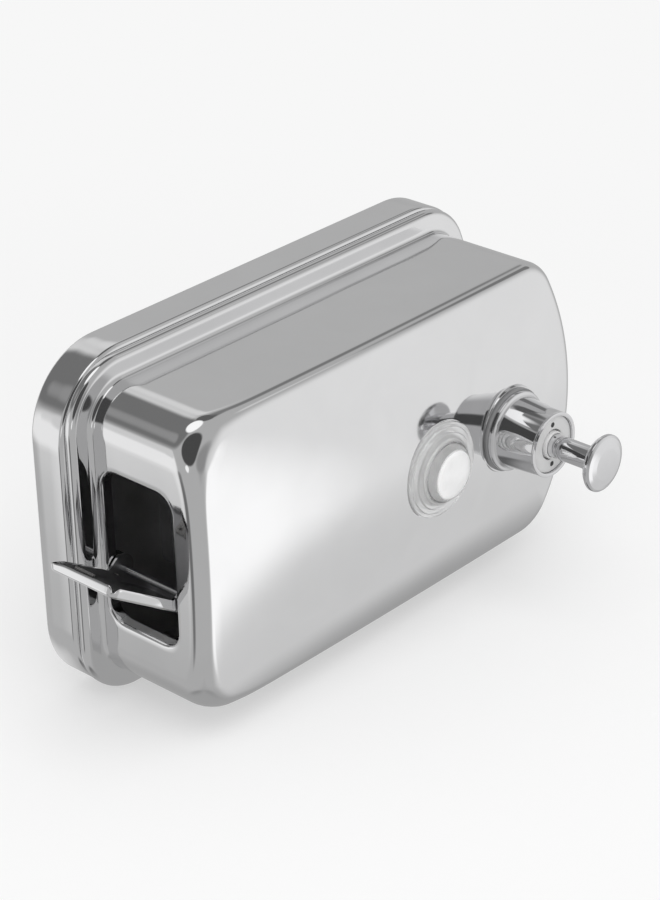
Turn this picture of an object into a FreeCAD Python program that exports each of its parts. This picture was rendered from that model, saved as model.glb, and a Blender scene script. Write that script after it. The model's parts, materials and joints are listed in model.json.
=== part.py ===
import FreeCAD, Part
import math
import os
import Sketcher

# A wall mounted soap dispenser: a pressed steel tank with a filler flap on top, a sight window
# and a push pump on its front, hung on a wall bracket.
# Frame: X to the right seen from the front, Y into the wall, Z up, millimetres.
# The origin is the centre of the bracket's screw pattern, on the wall.

doc = FreeCAD.newDocument("soap_dispenser")
sheet = doc.addObject("Spreadsheet::Sheet", "Sizes")
nodes = []


class Size:
    """A number together with the sheet expression that gives it, so sums of sizes stay bound."""

    def __init__(self, value, text):
        self.value = float(value)
        self.text = text

    @staticmethod
    def of(other):
        if isinstance(other, Size):
            return other
        return Size(other, "(%s)" % repr(other))

    def __add__(self, other):
        other = Size.of(other)
        return Size(self.value + other.value, "(%s + %s)" % (self.text, other.text))

    def __radd__(self, other):
        return Size.of(other) + self

    def __sub__(self, other):
        other = Size.of(other)
        return Size(self.value - other.value, "(%s - %s)" % (self.text, other.text))

    def __rsub__(self, other):
        return Size.of(other) - self

    def __mul__(self, other):
        other = Size.of(other)
        return Size(self.value * other.value, "(%s * %s)" % (self.text, other.text))

    def __rmul__(self, other):
        return Size.of(other) * self

    def __truediv__(self, other):
        other = Size.of(other)
        return Size(self.value / other.value, "(%s / %s)" % (self.text, other.text))

    def __neg__(self):
        return Size(-self.value, "(0 - %s)" % self.text)


def root(size):
    """The square root of a Size."""
    return Size(math.sqrt(size.value), "sqrt(%s)" % size.text)


def driving(name, value):
    """Write one driving dimension into the next row of the sheet and give it back as a Size."""
    driving.row += 1
    sheet.set("A%d" % driving.row, name)
    sheet.set("B%d" % driving.row, repr(value))
    sheet.setAlias("B%d" % driving.row, name)
    return Size(value, "Sizes.%s" % name)


driving.row = 0

# Tank shell: outline in the XZ plane, depths measured from the wall.
shell_width = driving("shell_width", 102.4)
shell_top = driving("shell_top", 89.5)
shell_bottom = driving("shell_bottom", 90.8)
shell_front = driving("shell_front", 60.1)
shell_wall = driving("shell_wall", 0.8)
shell_corner = driving("shell_corner", 14.2)
bow_radius = driving("bow_radius", 112.7)
edge_round = driving("edge_round", 5.0)
crown_top = driving("crown_top", 1.6)
crown_middle = driving("crown_middle", 8.8)
crown_bottom = driving("crown_bottom", 4.4)

# Seam bead round the shell and the tray behind it.
seal_inset = driving("seal_inset", 0.5)
seam_front = driving("seam_front", 17.3)
bead_depth = driving("bead_depth", 3.7)
bead_reach = driving("bead_reach", 7.3)
bead_round = driving("bead_round", 2.3)
tray_reach = driving("tray_reach", 8.8)
tray_wall = driving("tray_wall", 0.8)
tray_round = driving("tray_round", 1.6)
tray_lip = driving("tray_lip", 6.4)

# Hanging bracket behind the tray.
recess_width = driving("recess_width", 66.0)
recess_height = driving("recess_height", 92.0)
recess_depth = driving("recess_depth", 5.6)
bracket_width = driving("bracket_width", 56.0)
bracket_height = driving("bracket_height", 64.0)
bracket_sheet = driving("bracket_sheet", 1.2)
bracket_jog = driving("bracket_jog", 2.4)
bracket_lip = driving("bracket_lip", 6.0)
screw_span = driving("screw_span", 30.0)
screw_rise = driving("screw_rise", 44.0)
screw_hole = driving("screw_hole", 2.4)
rail_sheet = driving("rail_sheet", 0.8)
rail_gap = driving("rail_gap", 0.2)

# Filler opening, its lid and hinge.
filler_width = driving("filler_width", 53.4)
filler_depth = driving("filler_depth", 30.2)
filler_setback = driving("filler_setback", 3.5)
filler_corner = driving("filler_corner", 6.5)
filler_rim = driving("filler_rim", 4.2)
lid_gap = driving("lid_gap", 0.5)
lid_swing_gap = driving("lid_swing_gap", 1.2)
lid_reach = driving("lid_reach", 33.6)
lid_corner = driving("lid_corner", 3.6)
lid_sheet = driving("lid_sheet", 0.8)
lid_lip = driving("lid_lip", 3.6)
lid_open = driving("lid_open", 57.0)
pivot_shift = driving("pivot_shift", 10.1)
pivot_drop = driving("pivot_drop", 5.5)
pin_radius = driving("pin_radius", 1.15)
pin_head = driving("pin_head", 1.8)
pin_gap = driving("pin_gap", 0.08)
ear_radius = driving("ear_radius", 4.6)
bracket_eye = driving("bracket_eye", 2.6)
lid_wire = driving("lid_wire", 0.3)
lid_coil = driving("lid_coil", 3.7)
lid_coil_gap = driving("lid_coil_gap", 0.3)
lid_leg = driving("lid_leg", 4.0)
lid_leg_hole = driving("lid_leg_hole", 0.4)
lid_coil_turns = 1.75
latch_width = driving("latch_width", 8.0)
latch_drop = driving("latch_drop", 1.0)

# Sight window.
window_drop = driving("window_drop", 15.0)
window_seat = driving("window_seat", 68.3)
window_radius = driving("window_radius", 16.4)
window_flange = driving("window_flange", 1.3)
window_step_radius = driving("window_step_radius", 15.2)
window_step = driving("window_step", 1.3)
window_top_radius = driving("window_top_radius", 9.6)
window_height = driving("window_height", 6.8)
window_hole = driving("window_hole", 12.0)
window_well = driving("window_well", 9.4)
window_nut_radius = driving("window_nut_radius", 15.0)
window_nut_depth = driving("window_nut_depth", 4.0)
fit_gap = driving("fit_gap", 0.08)
seat_gap = driving("seat_gap", 0.2)
seat_depth = driving("seat_depth", 2.8)
gasket_depth = driving("gasket_depth", 1.4)

# Pump: everything lies on one axis along Y.
pump_drop = driving("pump_drop", 52.2)
pump_seat = driving("pump_seat", 68.4)
pump_gasket_radius = driving("pump_gasket_radius", 14.75)
pump_gasket_depth = driving("pump_gasket_depth", 1.8)
barrel_clearance = driving("barrel_clearance", 0.3)
rim_radius = driving("rim_radius", 13.3)
rim_depth = driving("rim_depth", 1.2)
housing_root = driving("housing_root", 12.5)
housing_front = driving("housing_front", 11.1)
housing_length = driving("housing_length", 16.2)
lip_radius = driving("lip_radius", 11.35)
cap_radius = driving("cap_radius", 9.9)
cap_depth = driving("cap_depth", 3.0)
cap_sink = driving("cap_sink", 0.8)
spanner_radius = driving("spanner_radius", 0.9)
spanner_place = driving("spanner_place", 7.2)
collar_radius = driving("collar_radius", 5.3)
collar_height = driving("collar_height", 1.8)
rod_radius = driving("rod_radius", 4.0)
rod_reach = driving("rod_reach", 17.8)
knob_radius = driving("knob_radius", 9.8)
knob_depth = driving("knob_depth", 4.0)
barrel_radius = driving("barrel_radius", 7.9)
barrel_bore = driving("barrel_bore", 6.2)
barrel_front = driving("barrel_front", 80.0)
barrel_back = driving("barrel_back", 38.0)
barrel_floor = driving("barrel_floor", 2.0)
barrel_flange = driving("barrel_flange", 12.6)
barrel_flange_depth = driving("barrel_flange_depth", 2.5)
piston_length = driving("piston_length", 9.0)
piston_back = driving("piston_back", 60.0)
piston_gap = driving("piston_gap", 0.15)
piston_relief = driving("piston_relief", 1.0)
piston_land = driving("piston_land", 1.0)
rod_seal_inset = driving("rod_seal_inset", 0.5)
seal_fit = driving("seal_fit", 0.05)
seal_inner = driving("seal_inner", 4.9)
seal_width = driving("seal_width", 2.0)
rod_spigot = driving("rod_spigot", 3.0)
groove_place = driving("groove_place", 3.0)
groove_width = driving("groove_width", 0.8)
groove_depth = driving("groove_depth", 0.4)
dome_drop = driving("dome_drop", 0.25)
outlet_land = driving("outlet_land", 1.6)
port_hole = driving("port_hole", 0.9)
spring_radius = driving("spring_radius", 4.6)
spring_wire = driving("spring_wire", 0.45)
spring_turns = 5
outlet_ball = driving("outlet_ball", 2.0)
outlet_seat = driving("outlet_seat", 1.3)
outlet_coil = driving("outlet_coil", 1.3)
outlet_wire = driving("outlet_wire", 0.2)
outlet_turns = 3
inlet_ball = driving("inlet_ball", 2.5)
inlet_seat = driving("inlet_seat", 1.7)
ball_gap = driving("ball_gap", 0.4)
port_radius = driving("port_radius", 2.5)
spout_radius = driving("spout_radius", 3.2)
spout_bore = driving("spout_bore", 2.0)
spout_reach = driving("spout_reach", 13.6)
spout_depth = driving("spout_depth", 76.0)
valve_radius = driving("valve_radius", 5.6)
valve_depth = driving("valve_depth", 31.0)
valve_top = driving("valve_top", 6.0)
valve_seat = driving("valve_seat", 7.8)
valve_bottom = driving("valve_bottom", 14.0)
valve_room = driving("valve_room", 6.0)
valve_neck_radius = driving("valve_neck_radius", 5.0)
valve_throat = driving("valve_throat", 2.0)
tube_radius = driving("tube_radius", 3.0)
tube_bore = driving("tube_bore", 2.0)
tube_end = driving("tube_end", 85.0)
strainer_wall = driving("strainer_wall", 0.9)
strainer_depth = driving("strainer_depth", 8.0)
strainer_hole = driving("strainer_hole", 0.8)


# ---------------------------------------------------------------- helpers

def vector(x=0.0, y=0.0, z=0.0):
    return FreeCAD.Vector(x, y, z)


def bind(thing, prop, size):
    """Tie a property to the sheet; a plain number is just set."""
    thing.setExpression(prop, Size.of(size).text)


def place(thing, x=0, y=0, z=0):
    """Put a thing at a place made of sizes."""
    for axis, size in (("x", x), ("y", y), ("z", z)):
        if Size.of(size).value or isinstance(size, Size):
            bind(thing, "Placement.Base.%s" % axis, size)


def node(thing, label):
    """Give a sub-part its own label and keep it for writing."""
    thing.Label = label
    nodes.append(thing)
    return thing


def new_body(name):
    return doc.addObject("PartDesign::Body", name)


def new_sketch(body, name, role, offset=0):
    """A sketch on one of the body's own origin planes, shifted along that plane's normal."""
    sketch = body.newObject("Sketcher::SketchObject", name)
    plane = [item for item in body.Origin.OriginFeatures if item.Role == role][0]
    sketch.AttachmentSupport = [(plane, "")]
    sketch.MapMode = "FlatFace"
    bind(sketch, "AttachmentOffset.Base.z", offset)
    return sketch


def fix_length(sketch, constraint, size):
    """Add a dimension and tie it to the sheet."""
    index = sketch.addConstraint(constraint)
    sketch.setExpression("Constraints[%d]" % index, Size.of(size).text)


def fix_point(sketch, geometry, end, x, y):
    """Hold one point of a sketch at a place measured from the sketch's origin."""
    for kind, size, axis in (("DistanceX", x, -2), ("DistanceY", y, -1)):
        size = Size.of(size)
        if size.value == 0.0:
            sketch.addConstraint(Sketcher.Constraint("PointOnObject", geometry, end, axis))
        else:
            fix_length(sketch, Sketcher.Constraint(kind, -1, 1, geometry, end, size.value), size)


def polygon(sketch, points):
    """A closed outline of straight lines through points made of sizes."""
    first = sketch.GeometryCount
    count = len(points)
    places = [vector(Size.of(x).value, Size.of(y).value) for x, y in points]
    for index in range(count):
        sketch.addGeometry(Part.LineSegment(places[index], places[(index + 1) % count]), False)
    for index in range(count):
        following = first + (index + 1) % count
        sketch.addConstraint(Sketcher.Constraint("Coincident", first + index, 2, following, 1))
    for index, (x, y) in enumerate(points):
        fix_point(sketch, first + index, 1, x, y)


def rectangle(sketch, width, height, x=0, y=0):
    """A rectangle given by its size and the middle of it."""
    x = Size.of(x)
    y = Size.of(y)
    half_width = Size.of(width) / 2
    half_height = Size.of(height) / 2
    polygon(sketch, [(x - half_width, y - half_height), (x + half_width, y - half_height),
                     (x + half_width, y + half_height), (x - half_width, y + half_height)])


def arc(centre, radius, start, end):
    """Arc geometry from angles in degrees."""
    ring = Part.Circle(vector(*centre), vector(0, 0, 1), radius)
    return Part.ArcOfCircle(ring, math.radians(start), math.radians(end))


def rounded_rectangle(sketch, x, y, right_corner, left_corner):
    """A rectangle between two x and two y places, with its own corner radius at each end."""
    left, right = x[0].value, x[1].value
    low, high = y[0].value, y[1].value
    r, q = right_corner.value, left_corner.value
    first = sketch.GeometryCount
    sketch.addGeometry(Part.LineSegment(vector(left + q, low), vector(right - r, low)), False)
    sketch.addGeometry(arc((right - r, low + r), r, 270, 360), False)
    sketch.addGeometry(Part.LineSegment(vector(right, low + r), vector(right, high - r)), False)
    sketch.addGeometry(arc((right - r, high - r), r, 0, 90), False)
    sketch.addGeometry(Part.LineSegment(vector(right - r, high), vector(left + q, high)), False)
    sketch.addGeometry(arc((left + q, high - q), q, 90, 180), False)
    sketch.addGeometry(Part.LineSegment(vector(left, high - q), vector(left, low + q)), False)
    sketch.addGeometry(arc((left + q, low + q), q, 180, 270), False)
    join_tangent(sketch, first, 8)
    for side, kind in ((0, "Horizontal"), (2, "Vertical"), (4, "Horizontal"), (6, "Vertical")):
        sketch.addConstraint(Sketcher.Constraint(kind, first + side))
    for side, corner in ((1, right_corner), (3, right_corner), (5, left_corner), (7, left_corner)):
        fix_length(sketch, Sketcher.Constraint("Radius", first + side, corner.value), corner)
    for side, kind, size in ((0, "DistanceY", y[0]), (4, "DistanceY", y[1]),
                             (2, "DistanceX", x[1]), (6, "DistanceX", x[0])):
        fix_length(sketch, Sketcher.Constraint(kind, -1, 1, first + side, 1, size.value), size)


def join_tangent(sketch, first, count):
    """Join a closed chain of edges end to start, each tangent to the next."""
    for index in range(count):
        following = first + (index + 1) % count
        sketch.addConstraint(Sketcher.Constraint("Tangent", first + index, 2, following, 1))


def tank_outline(sketch, reach, corner):
    """The tank's outline seen from the front, grown outwards by reach.

    Straight top and sides, and a bottom bowed to a large radius.
    """
    half = shell_width / 2 + reach
    top = shell_top + reach
    bow = bow_radius + reach
    bow_centre = bow - shell_bottom - reach
    corner = Size.of(corner)
    h, t, r, b, c = half.value, top.value, corner.value, bow.value, bow_centre.value
    corner_x = h - r
    corner_z = c - math.sqrt((b - r) ** 2 - corner_x ** 2)
    swing = math.degrees(math.atan2(corner_x, c - corner_z))
    first = sketch.GeometryCount
    sketch.addGeometry(Part.LineSegment(vector(h, corner_z), vector(h, t - r)), False)
    sketch.addGeometry(arc((h - r, t - r), r, 0, 90), False)
    sketch.addGeometry(Part.LineSegment(vector(h - r, t), vector(r - h, t)), False)
    sketch.addGeometry(arc((r - h, t - r), r, 90, 180), False)
    sketch.addGeometry(Part.LineSegment(vector(-h, t - r), vector(-h, corner_z)), False)
    sketch.addGeometry(arc((-corner_x, corner_z), r, 180, 270 - swing), False)
    sketch.addGeometry(arc((0, c), b, 270 - swing, 270 + swing), False)
    sketch.addGeometry(arc((corner_x, corner_z), r, 270 + swing, 360), False)
    join_tangent(sketch, first, 8)
    sketch.addConstraint(Sketcher.Constraint("Vertical", first))
    sketch.addConstraint(Sketcher.Constraint("Horizontal", first + 2))
    sketch.addConstraint(Sketcher.Constraint("Vertical", first + 4))
    for side in (1, 3, 5, 7):
        fix_length(sketch, Sketcher.Constraint("Radius", first + side, r), corner)
    fix_length(sketch, Sketcher.Constraint("DistanceX", -1, 1, first, 1, h), half)
    fix_length(sketch, Sketcher.Constraint("DistanceX", -1, 1, first + 4, 1, -h), -half)
    fix_length(sketch, Sketcher.Constraint("DistanceY", -1, 1, first + 2, 1, t), top)
    fix_length(sketch, Sketcher.Constraint("Radius", first + 6, b), bow)
    fix_point(sketch, first + 6, 3, 0, bow_centre)


def pad(body, sketch, length, backwards=False):
    feature = body.newObject("PartDesign::Pad", "Pad")
    feature.Profile = sketch
    bind(feature, "Length", length)
    feature.Reversed = backwards
    return feature


def pocket(body, sketch, length, backwards=False):
    feature = body.newObject("PartDesign::Pocket", "Pocket")
    feature.Profile = sketch
    bind(feature, "Length", length)
    feature.Reversed = backwards
    return feature


def fillet(body, radius, chosen):
    """Round the edges of the body's last feature that the test picks."""
    doc.recompute()
    base = body.Tip
    names = ["Edge%d" % (index + 1) for index, edge in enumerate(base.Shape.Edges) if chosen(edge)]
    feature = body.newObject("PartDesign::Fillet", "Fillet")
    feature.Base = (base, names)
    bind(feature, "Radius", radius)
    return feature


def turned(name, points, role="XY_Plane"):
    """A body turned about the Y axis (XY_Plane) or the Z axis (XZ_Plane); points are radius, place."""
    body = new_body(name)
    sketch = new_sketch(body, name + "_profile", role)
    polygon(sketch, points)
    spin = body.newObject("PartDesign::Revolution", "Revolution")
    spin.Profile = sketch
    spin.ReferenceAxis = (sketch, ["V_Axis"])
    spin.Angle = 360
    return body


def ring(name, inner, outer, start, end, role="XY_Plane"):
    """A plain turned ring or, with no inner radius, a disc."""
    return turned(name, [(inner, start), (outer, start), (outer, end), (inner, end)], role)


def cylinder(radius, start, end, axis, x=0, y=0, z=0):
    """A plain cylinder along an axis, from start to end on it."""
    rod = doc.addObject("Part::Cylinder", "Cylinder")
    bind(rod, "Radius", radius)
    bind(rod, "Height", Size.of(end) - Size.of(start))
    turns = {"Z": FreeCAD.Rotation(), "Y": FreeCAD.Rotation(vector(1, 0, 0), -90),
             "X": FreeCAD.Rotation(vector(0, 1, 0), 90)}
    rod.Placement = FreeCAD.Placement(vector(), turns[axis])
    base = {"X": x, "Y": y, "Z": z}
    base[axis] = Size.of(base[axis]) + start
    place(rod, base["X"], base["Y"], base["Z"])
    return rod


def box(x0, x1, y0, y1, z0, z1):
    """A plain box between two corners."""
    block = doc.addObject("Part::Box", "Box")
    for prop, low, high in (("Length", x0, x1), ("Width", y0, y1), ("Height", z0, z1)):
        bind(block, prop, Size.of(high) - Size.of(low))
    place(block, x0, y0, z0)
    return block


def lay_along_y(thing):
    """Turn a thing made along Z so that it runs towards the front."""
    thing.Placement = FreeCAD.Placement(vector(), FreeCAD.Rotation(vector(1, 0, 0), 90))


def cut(base, *tools):
    """The base less every tool."""
    for tool in tools:
        step = doc.addObject("Part::Cut", "Cut")
        step.Base = base
        step.Tool = tool
        base = step
    return base


def fuse(*things):
    joined = doc.addObject("Part::MultiFuse", "Fusion")
    joined.Shapes = list(things)
    joined.Refine = True
    return joined


def coil(radius, wire, length, turns, name):
    """A round-wire coil that starts at the origin and runs along Z."""
    path = doc.addObject("Part::Helix", name + "_path")
    bind(path, "Radius", radius)
    bind(path, "Height", length)
    bind(path, "Pitch", Size.of(length) / turns)
    section = doc.addObject("Part::Circle", name + "_wire")
    bind(section, "Radius", wire)
    section.Placement = FreeCAD.Placement(vector(), FreeCAD.Rotation(vector(1, 0, 0), 90))
    place(section, radius)
    sweep = doc.addObject("Part::Sweep", name)
    sweep.Sections = [section]
    sweep.Spine = path
    sweep.Solid = True
    sweep.Frenet = True
    return sweep


# ---------------------------------------------------------------- shared places

tray_front = seam_front - bead_depth
pump_z = -pump_drop
pump_hole = barrel_radius + barrel_clearance
housing_base = pump_seat + pump_gasket_depth
housing_end = housing_base + housing_length
cap_front = housing_end - cap_sink
cap_back = cap_front - cap_depth
knob_back = housing_end + rod_reach
knob_front = knob_back + knob_depth
piston_front = piston_back + piston_length
pin_x = -pivot_shift
pin_z = shell_top - pivot_drop
filler_back = seam_front + filler_setback
filler_middle = filler_back + filler_depth / 2
filler_front = filler_back + filler_depth
pin_front_end = -filler_front - shell_wall * 2
pin_back_end = shell_wall - seam_front
margin = 2


# ---------------------------------------------------------------- tank shell

def crown_section(sketch, half, back, front, crown):
    """One level of the shell: square at the back, arched at the front."""
    radius = (half * half + crown * crown) / (crown * 2)
    swing = math.degrees(math.asin(half.value / radius.value))
    corners = [(half, -front), (half, -back), (-half, -back), (-half, -front)]
    places = [vector(x.value, y.value) for x, y in corners]
    for start, end in zip(places, places[1:]):
        sketch.addGeometry(Part.LineSegment(start, end), False)
    centre = (0, radius.value - front.value - crown.value)
    sketch.addGeometry(arc(centre, radius.value, 270 - swing, 270 + swing), False)
    for index, (x, y) in enumerate(corners):
        sketch.addConstraint(Sketcher.Constraint("Coincident", index, 2, (index + 1) % 4, 1))
        fix_point(sketch, index, 1, x, y)
    fix_length(sketch, Sketcher.Constraint("Radius", 3, radius.value), radius)


def crowned_block(name, inset, back):
    """A solid with the tank's outline and an arched front, inset from the shell's outside."""
    body = new_body(name)
    half = shell_width / 2 - inset
    front = shell_front - inset
    levels = ((shell_top + margin, crown_top),
              ((shell_top - shell_bottom) / 2, crown_middle),
              (-shell_bottom - margin, crown_bottom))
    sections = []
    for level, crown in levels:
        sketch = new_sketch(body, name + "_level", "XY_Plane", level)
        crown_section(sketch, half, back, front, crown)
        sections.append(sketch)
    loft = body.newObject("PartDesign::AdditiveLoft", "Crown")
    loft.Profile = sections[0]
    loft.Sections = sections[1:]
    trim = new_sketch(body, name + "_trim", "XZ_Plane", back - margin)
    tank_outline(trim, -inset, shell_corner - inset)
    rectangle(trim, shell_width * 2, (shell_top + shell_bottom) * 2)
    pocket(body, trim, shell_front + crown_middle, True)
    middle = -(front + back).value / 2
    fillet(body, edge_round - inset, lambda edge: edge.BoundBox.YMax < middle)
    return body


def seat_disc(radius, height, front):
    """A flat pressed seat in the crowned front."""
    return cylinder(radius, -front, -(front - seat_depth), "Y", z=height)


def seam_flange():
    """The flange round the shell's open back, with its rolled bead."""
    body = new_body("seam_flange")
    outside = new_sketch(body, "flange_outline", "XZ_Plane", tray_front)
    tank_outline(outside, bead_reach, shell_corner + bead_reach)
    pad(body, outside, bead_depth)
    outer_front = -(seam_front.value - 0.01)
    fillet(body, bead_round, lambda edge: edge.BoundBox.YMax < outer_front)
    hollow = new_sketch(body, "bead_hollow", "XZ_Plane", tray_front)
    inner_reach = bead_reach - shell_wall
    tank_outline(hollow, inner_reach, shell_corner + inner_reach)
    pocket(body, hollow, bead_depth - shell_wall, True)
    opening = new_sketch(body, "flange_opening", "XZ_Plane", tray_front)
    tank_outline(opening, -shell_wall, shell_corner - shell_wall)
    pocket(body, opening, bead_depth + margin, True)
    return body


def filler_prism(name, grow, low, high):
    """An upright prism with the filler opening's outline, grown by grow."""
    body = new_body(name)
    sketch = new_sketch(body, name + "_outline", "XY_Plane", low)
    half = filler_width / 2 + grow
    rounded_rectangle(sketch, (-half, half), (-filler_front - grow, grow - filler_back),
                      filler_corner + grow, filler_corner + grow)
    pad(body, sketch, high - low)
    return body


def pin_brackets():
    """Two eyes that hang from the tank's top inside, in front of and behind the flap."""
    pieces = []
    for near, far in ((pin_front_end, pin_front_end + shell_wall),
                      (pin_back_end - shell_wall, pin_back_end)):
        pieces.append(cylinder(bracket_eye, near, far, "Y", x=pin_x, z=pin_z))
        pieces.append(box(pin_x - bracket_eye, pin_x + bracket_eye, near, far,
                          pin_z, shell_top - shell_wall / 2))
    return pieces


def front_shell():
    """The drawn steel front: tank wall, seam flange, pressed seats and the filler's turned-in rim."""
    window_seat_radius = window_radius + seat_gap
    pump_seat_radius = pump_gasket_radius + seat_gap
    blank = crowned_block("shell_blank", Size.of(0), seam_front - shell_wall)
    cavity = crowned_block("shell_cavity", shell_wall, seam_front - shell_wall - margin)
    flats = [cylinder(radius, -(shell_front + crown_middle + margin), -seat, "Y", z=height)
             for radius, seat, height in ((window_seat_radius, window_seat, -window_drop),
                                          (pump_seat_radius, pump_seat, pump_z))]
    mouth = filler_prism("filler_mouth", Size.of(0), shell_top - margin, shell_top + margin)
    cup = cut(blank, cavity, mouth, *flats)
    rim_blank = filler_prism("rim_blank", shell_wall, shell_top - filler_rim, shell_top)
    rim_bore = filler_prism("rim_bore", Size.of(0), shell_top - filler_rim - margin,
                            shell_top + margin)
    rim = cut(rim_blank, rim_bore)
    seats = [seat_disc(window_seat_radius, -window_drop, window_seat),
             seat_disc(pump_seat_radius, pump_z, pump_seat)]
    solid = fuse(cup, seam_flange(), rim, *seats, *pin_brackets())
    holes = [cylinder(window_hole, -window_seat - margin, -window_seat + seat_depth + margin, "Y",
                      z=-window_drop),
             cylinder(pump_hole, -pump_seat - margin, -pump_seat + seat_depth + margin, "Y",
                      z=pump_z),
             cylinder(pin_radius, pin_front_end - margin, pin_back_end + margin, "Y",
                      x=pin_x, z=pin_z)]
    node(cut(solid, *holes), "front_shell")


# ---------------------------------------------------------------- tray, seal and wall bracket

def tray_corner(reach):
    """The tray's corners are rounder than the bead's in front of them."""
    return shell_corner + reach + tray_reach / 2


def tray_prism(name, reach, back, front):
    body = new_body(name)
    sketch = new_sketch(body, name + "_outline", "XZ_Plane", back)
    tank_outline(sketch, reach, tray_corner(reach))
    pad(body, sketch, front - back)
    return body


def back_tray():
    """The pressed back: a shallow tray whose turned-in lip meets the seam, with a bracket recess."""
    block = tray_prism("tray_block", tray_reach, Size.of(0), tray_front)
    outer_front = -(tray_front.value - 0.01)
    fillet(block, tray_round, lambda edge: edge.BoundBox.YMax < outer_front)
    inside = tray_prism("tray_inside", tray_reach - tray_wall, tray_wall, tray_front - tray_wall)
    mouth_reach = tray_reach - tray_lip
    mouth = new_body("tray_mouth")
    sketch = new_sketch(mouth, "tray_mouth_outline", "XZ_Plane", tray_wall)
    tank_outline(sketch, mouth_reach, shell_corner + mouth_reach)
    pad(mouth, sketch, tray_front)
    half = recess_width / 2
    rise = recess_height / 2
    pan = box(-half - tray_wall, half + tray_wall, -recess_depth - tray_wall, -tray_wall / 2,
              -rise - tray_wall, rise + tray_wall)
    recess = box(-half, half, -recess_depth, margin, -rise, rise)
    node(cut(fuse(cut(block, inside, mouth), pan), recess), "back_tray")


def seam_gasket():
    """The flat seal squeezed between the shell's flange and the tray's lip."""
    body = new_body("seam_gasket")
    sketch = new_sketch(body, "gasket_outline", "XZ_Plane", tray_front)
    outer = bead_reach - shell_wall - bead_round / 2
    inner = tray_reach - tray_lip + seal_inset
    tank_outline(sketch, outer, shell_corner + outer)
    tank_outline(sketch, inner, shell_corner + inner)
    pad(body, sketch, bead_depth - shell_wall)
    node(body, "seam_gasket")


def wall_bracket():
    """A flat plate screwed to the wall, with both sides jogged forward to catch the hanger."""
    inner = bracket_width / 2 - bracket_lip
    outer = bracket_width / 2
    rise = bracket_height / 2
    lip_back = bracket_jog
    lip_front = bracket_jog + bracket_sheet
    pieces = [box(-inner, inner, -bracket_sheet, 0, -rise, rise)]
    for side in (-1, 1):
        web = (inner - bracket_sheet, inner) if side > 0 else (-inner, bracket_sheet - inner)
        lip = (inner, outer) if side > 0 else (-outer, -inner)
        pieces.append(box(web[0], web[1], -lip_front, 0, -rise, rise))
        pieces.append(box(lip[0], lip[1], -lip_front, -lip_back, -rise, rise))
    holes = [cylinder(screw_hole, -bracket_sheet - margin, Size.of(margin), "Y",
                      x=screw_span / 2 * across, z=screw_rise / 2 * up)
             for across in (-1, 1) for up in (-1, 1)]
    node(cut(fuse(*pieces), *holes), "wall_bracket")


def hanger_channel():
    """Two rails and a stop welded in the tray's recess; they slide down over the bracket."""
    outer = bracket_width / 2
    rise = bracket_height / 2
    lip_front = bracket_jog - rail_gap
    lip_back = lip_front - rail_sheet
    inner = outer - bracket_lip + bracket_sheet / 2
    web = outer + rail_gap
    pieces = []
    for side in (-1, 1):
        web_x = (web, web + rail_sheet) if side > 0 else (-web - rail_sheet, -web)
        lip_x = (inner, web) if side > 0 else (-web, -inner)
        pieces.append(box(web_x[0], web_x[1], -recess_depth, -lip_back, -rise, rise + rail_sheet))
        pieces.append(box(lip_x[0], lip_x[1], -lip_front, -lip_back, -rise, rise + rail_sheet))
    pieces.append(box(-web - rail_sheet, web + rail_sheet, -recess_depth, -lip_back,
                      rise, rise + rail_sheet))
    node(fuse(*pieces), "hanger_channel")


# ---------------------------------------------------------------- filler lid

def lid_prism(name, inset, low, high):
    """A prism with the lid's outline, in the lid's own frame: pin at the origin, lid lying shut."""
    body = new_body(name)
    sketch = new_sketch(body, name + "_outline", "XY_Plane", low)
    tail = filler_width / 2 - pivot_shift - lid_swing_gap - inset
    side = filler_depth / 2 - lid_gap - inset
    rounded_rectangle(sketch, (-tail, lid_reach - inset), (-side, side),
                      lid_corner - inset, filler_corner - lid_gap - inset)
    pad(body, sketch, high - low)
    return body


def seat_on_pin(thing):
    """Carry something from the lid's own frame to the pin, turned to the open position."""
    turn = FreeCAD.Rotation(vector(0, -1, 0), lid_open.value)
    thing.Placement = FreeCAD.Placement(vector(), turn)
    bind(thing, "Placement.Rotation.Angle", lid_open)
    place(thing, pin_x, -filler_middle, pin_z)


def filler_lid():
    """The flap: a shallow tray with a turned lip, and an ear at each side for the pin."""
    plate_low = pivot_drop - lid_sheet
    block = lid_prism("lid_block", Size.of(0), pivot_drop - lid_lip, pivot_drop)
    top_face = pivot_drop.value - 0.01
    fillet(block, lid_sheet, lambda edge: edge.BoundBox.ZMin > top_face)
    hollow = lid_prism("lid_hollow", lid_sheet, pivot_drop - lid_lip - margin, plate_low)
    side = filler_depth / 2 - lid_gap
    ears = []
    for near, far in ((-side, lid_sheet - side), (side - lid_sheet, side)):
        ears.append(cylinder(ear_radius, near, far, "Y"))
        ears.append(box(-ear_radius, ear_radius, near, far, 0, plate_low))
    bore = cylinder(pin_radius + pin_gap, -side - margin, side + margin, "Y")
    turn = math.radians(lid_open.value)
    leg_hole = cylinder(lid_leg_hole, 0, side + margin, "Y",
                        x=lid_coil * -math.sin(turn), z=lid_coil * -math.cos(turn))
    lid = cut(fuse(cut(block, hollow), *ears), bore, leg_hole)
    seat_on_pin(lid)
    node(lid, "filler_lid")


def lid_latch():
    """A sprung leaf riveted inside the lid's free edge; its nose snaps under the filler rim."""
    edge = lid_reach - lid_sheet
    leaf = box(edge - lid_sheet / 2, edge, -latch_width / 2, latch_width / 2,
               pivot_drop - lid_lip - latch_drop, pivot_drop - lid_sheet)
    nose = cylinder(lid_sheet / 2, -latch_width / 2, latch_width / 2, "Y",
                    x=edge, z=pivot_drop - lid_lip - latch_drop + lid_sheet / 2)
    latch = fuse(leaf, nose)
    seat_on_pin(latch)
    node(latch, "lid_latch")


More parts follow.
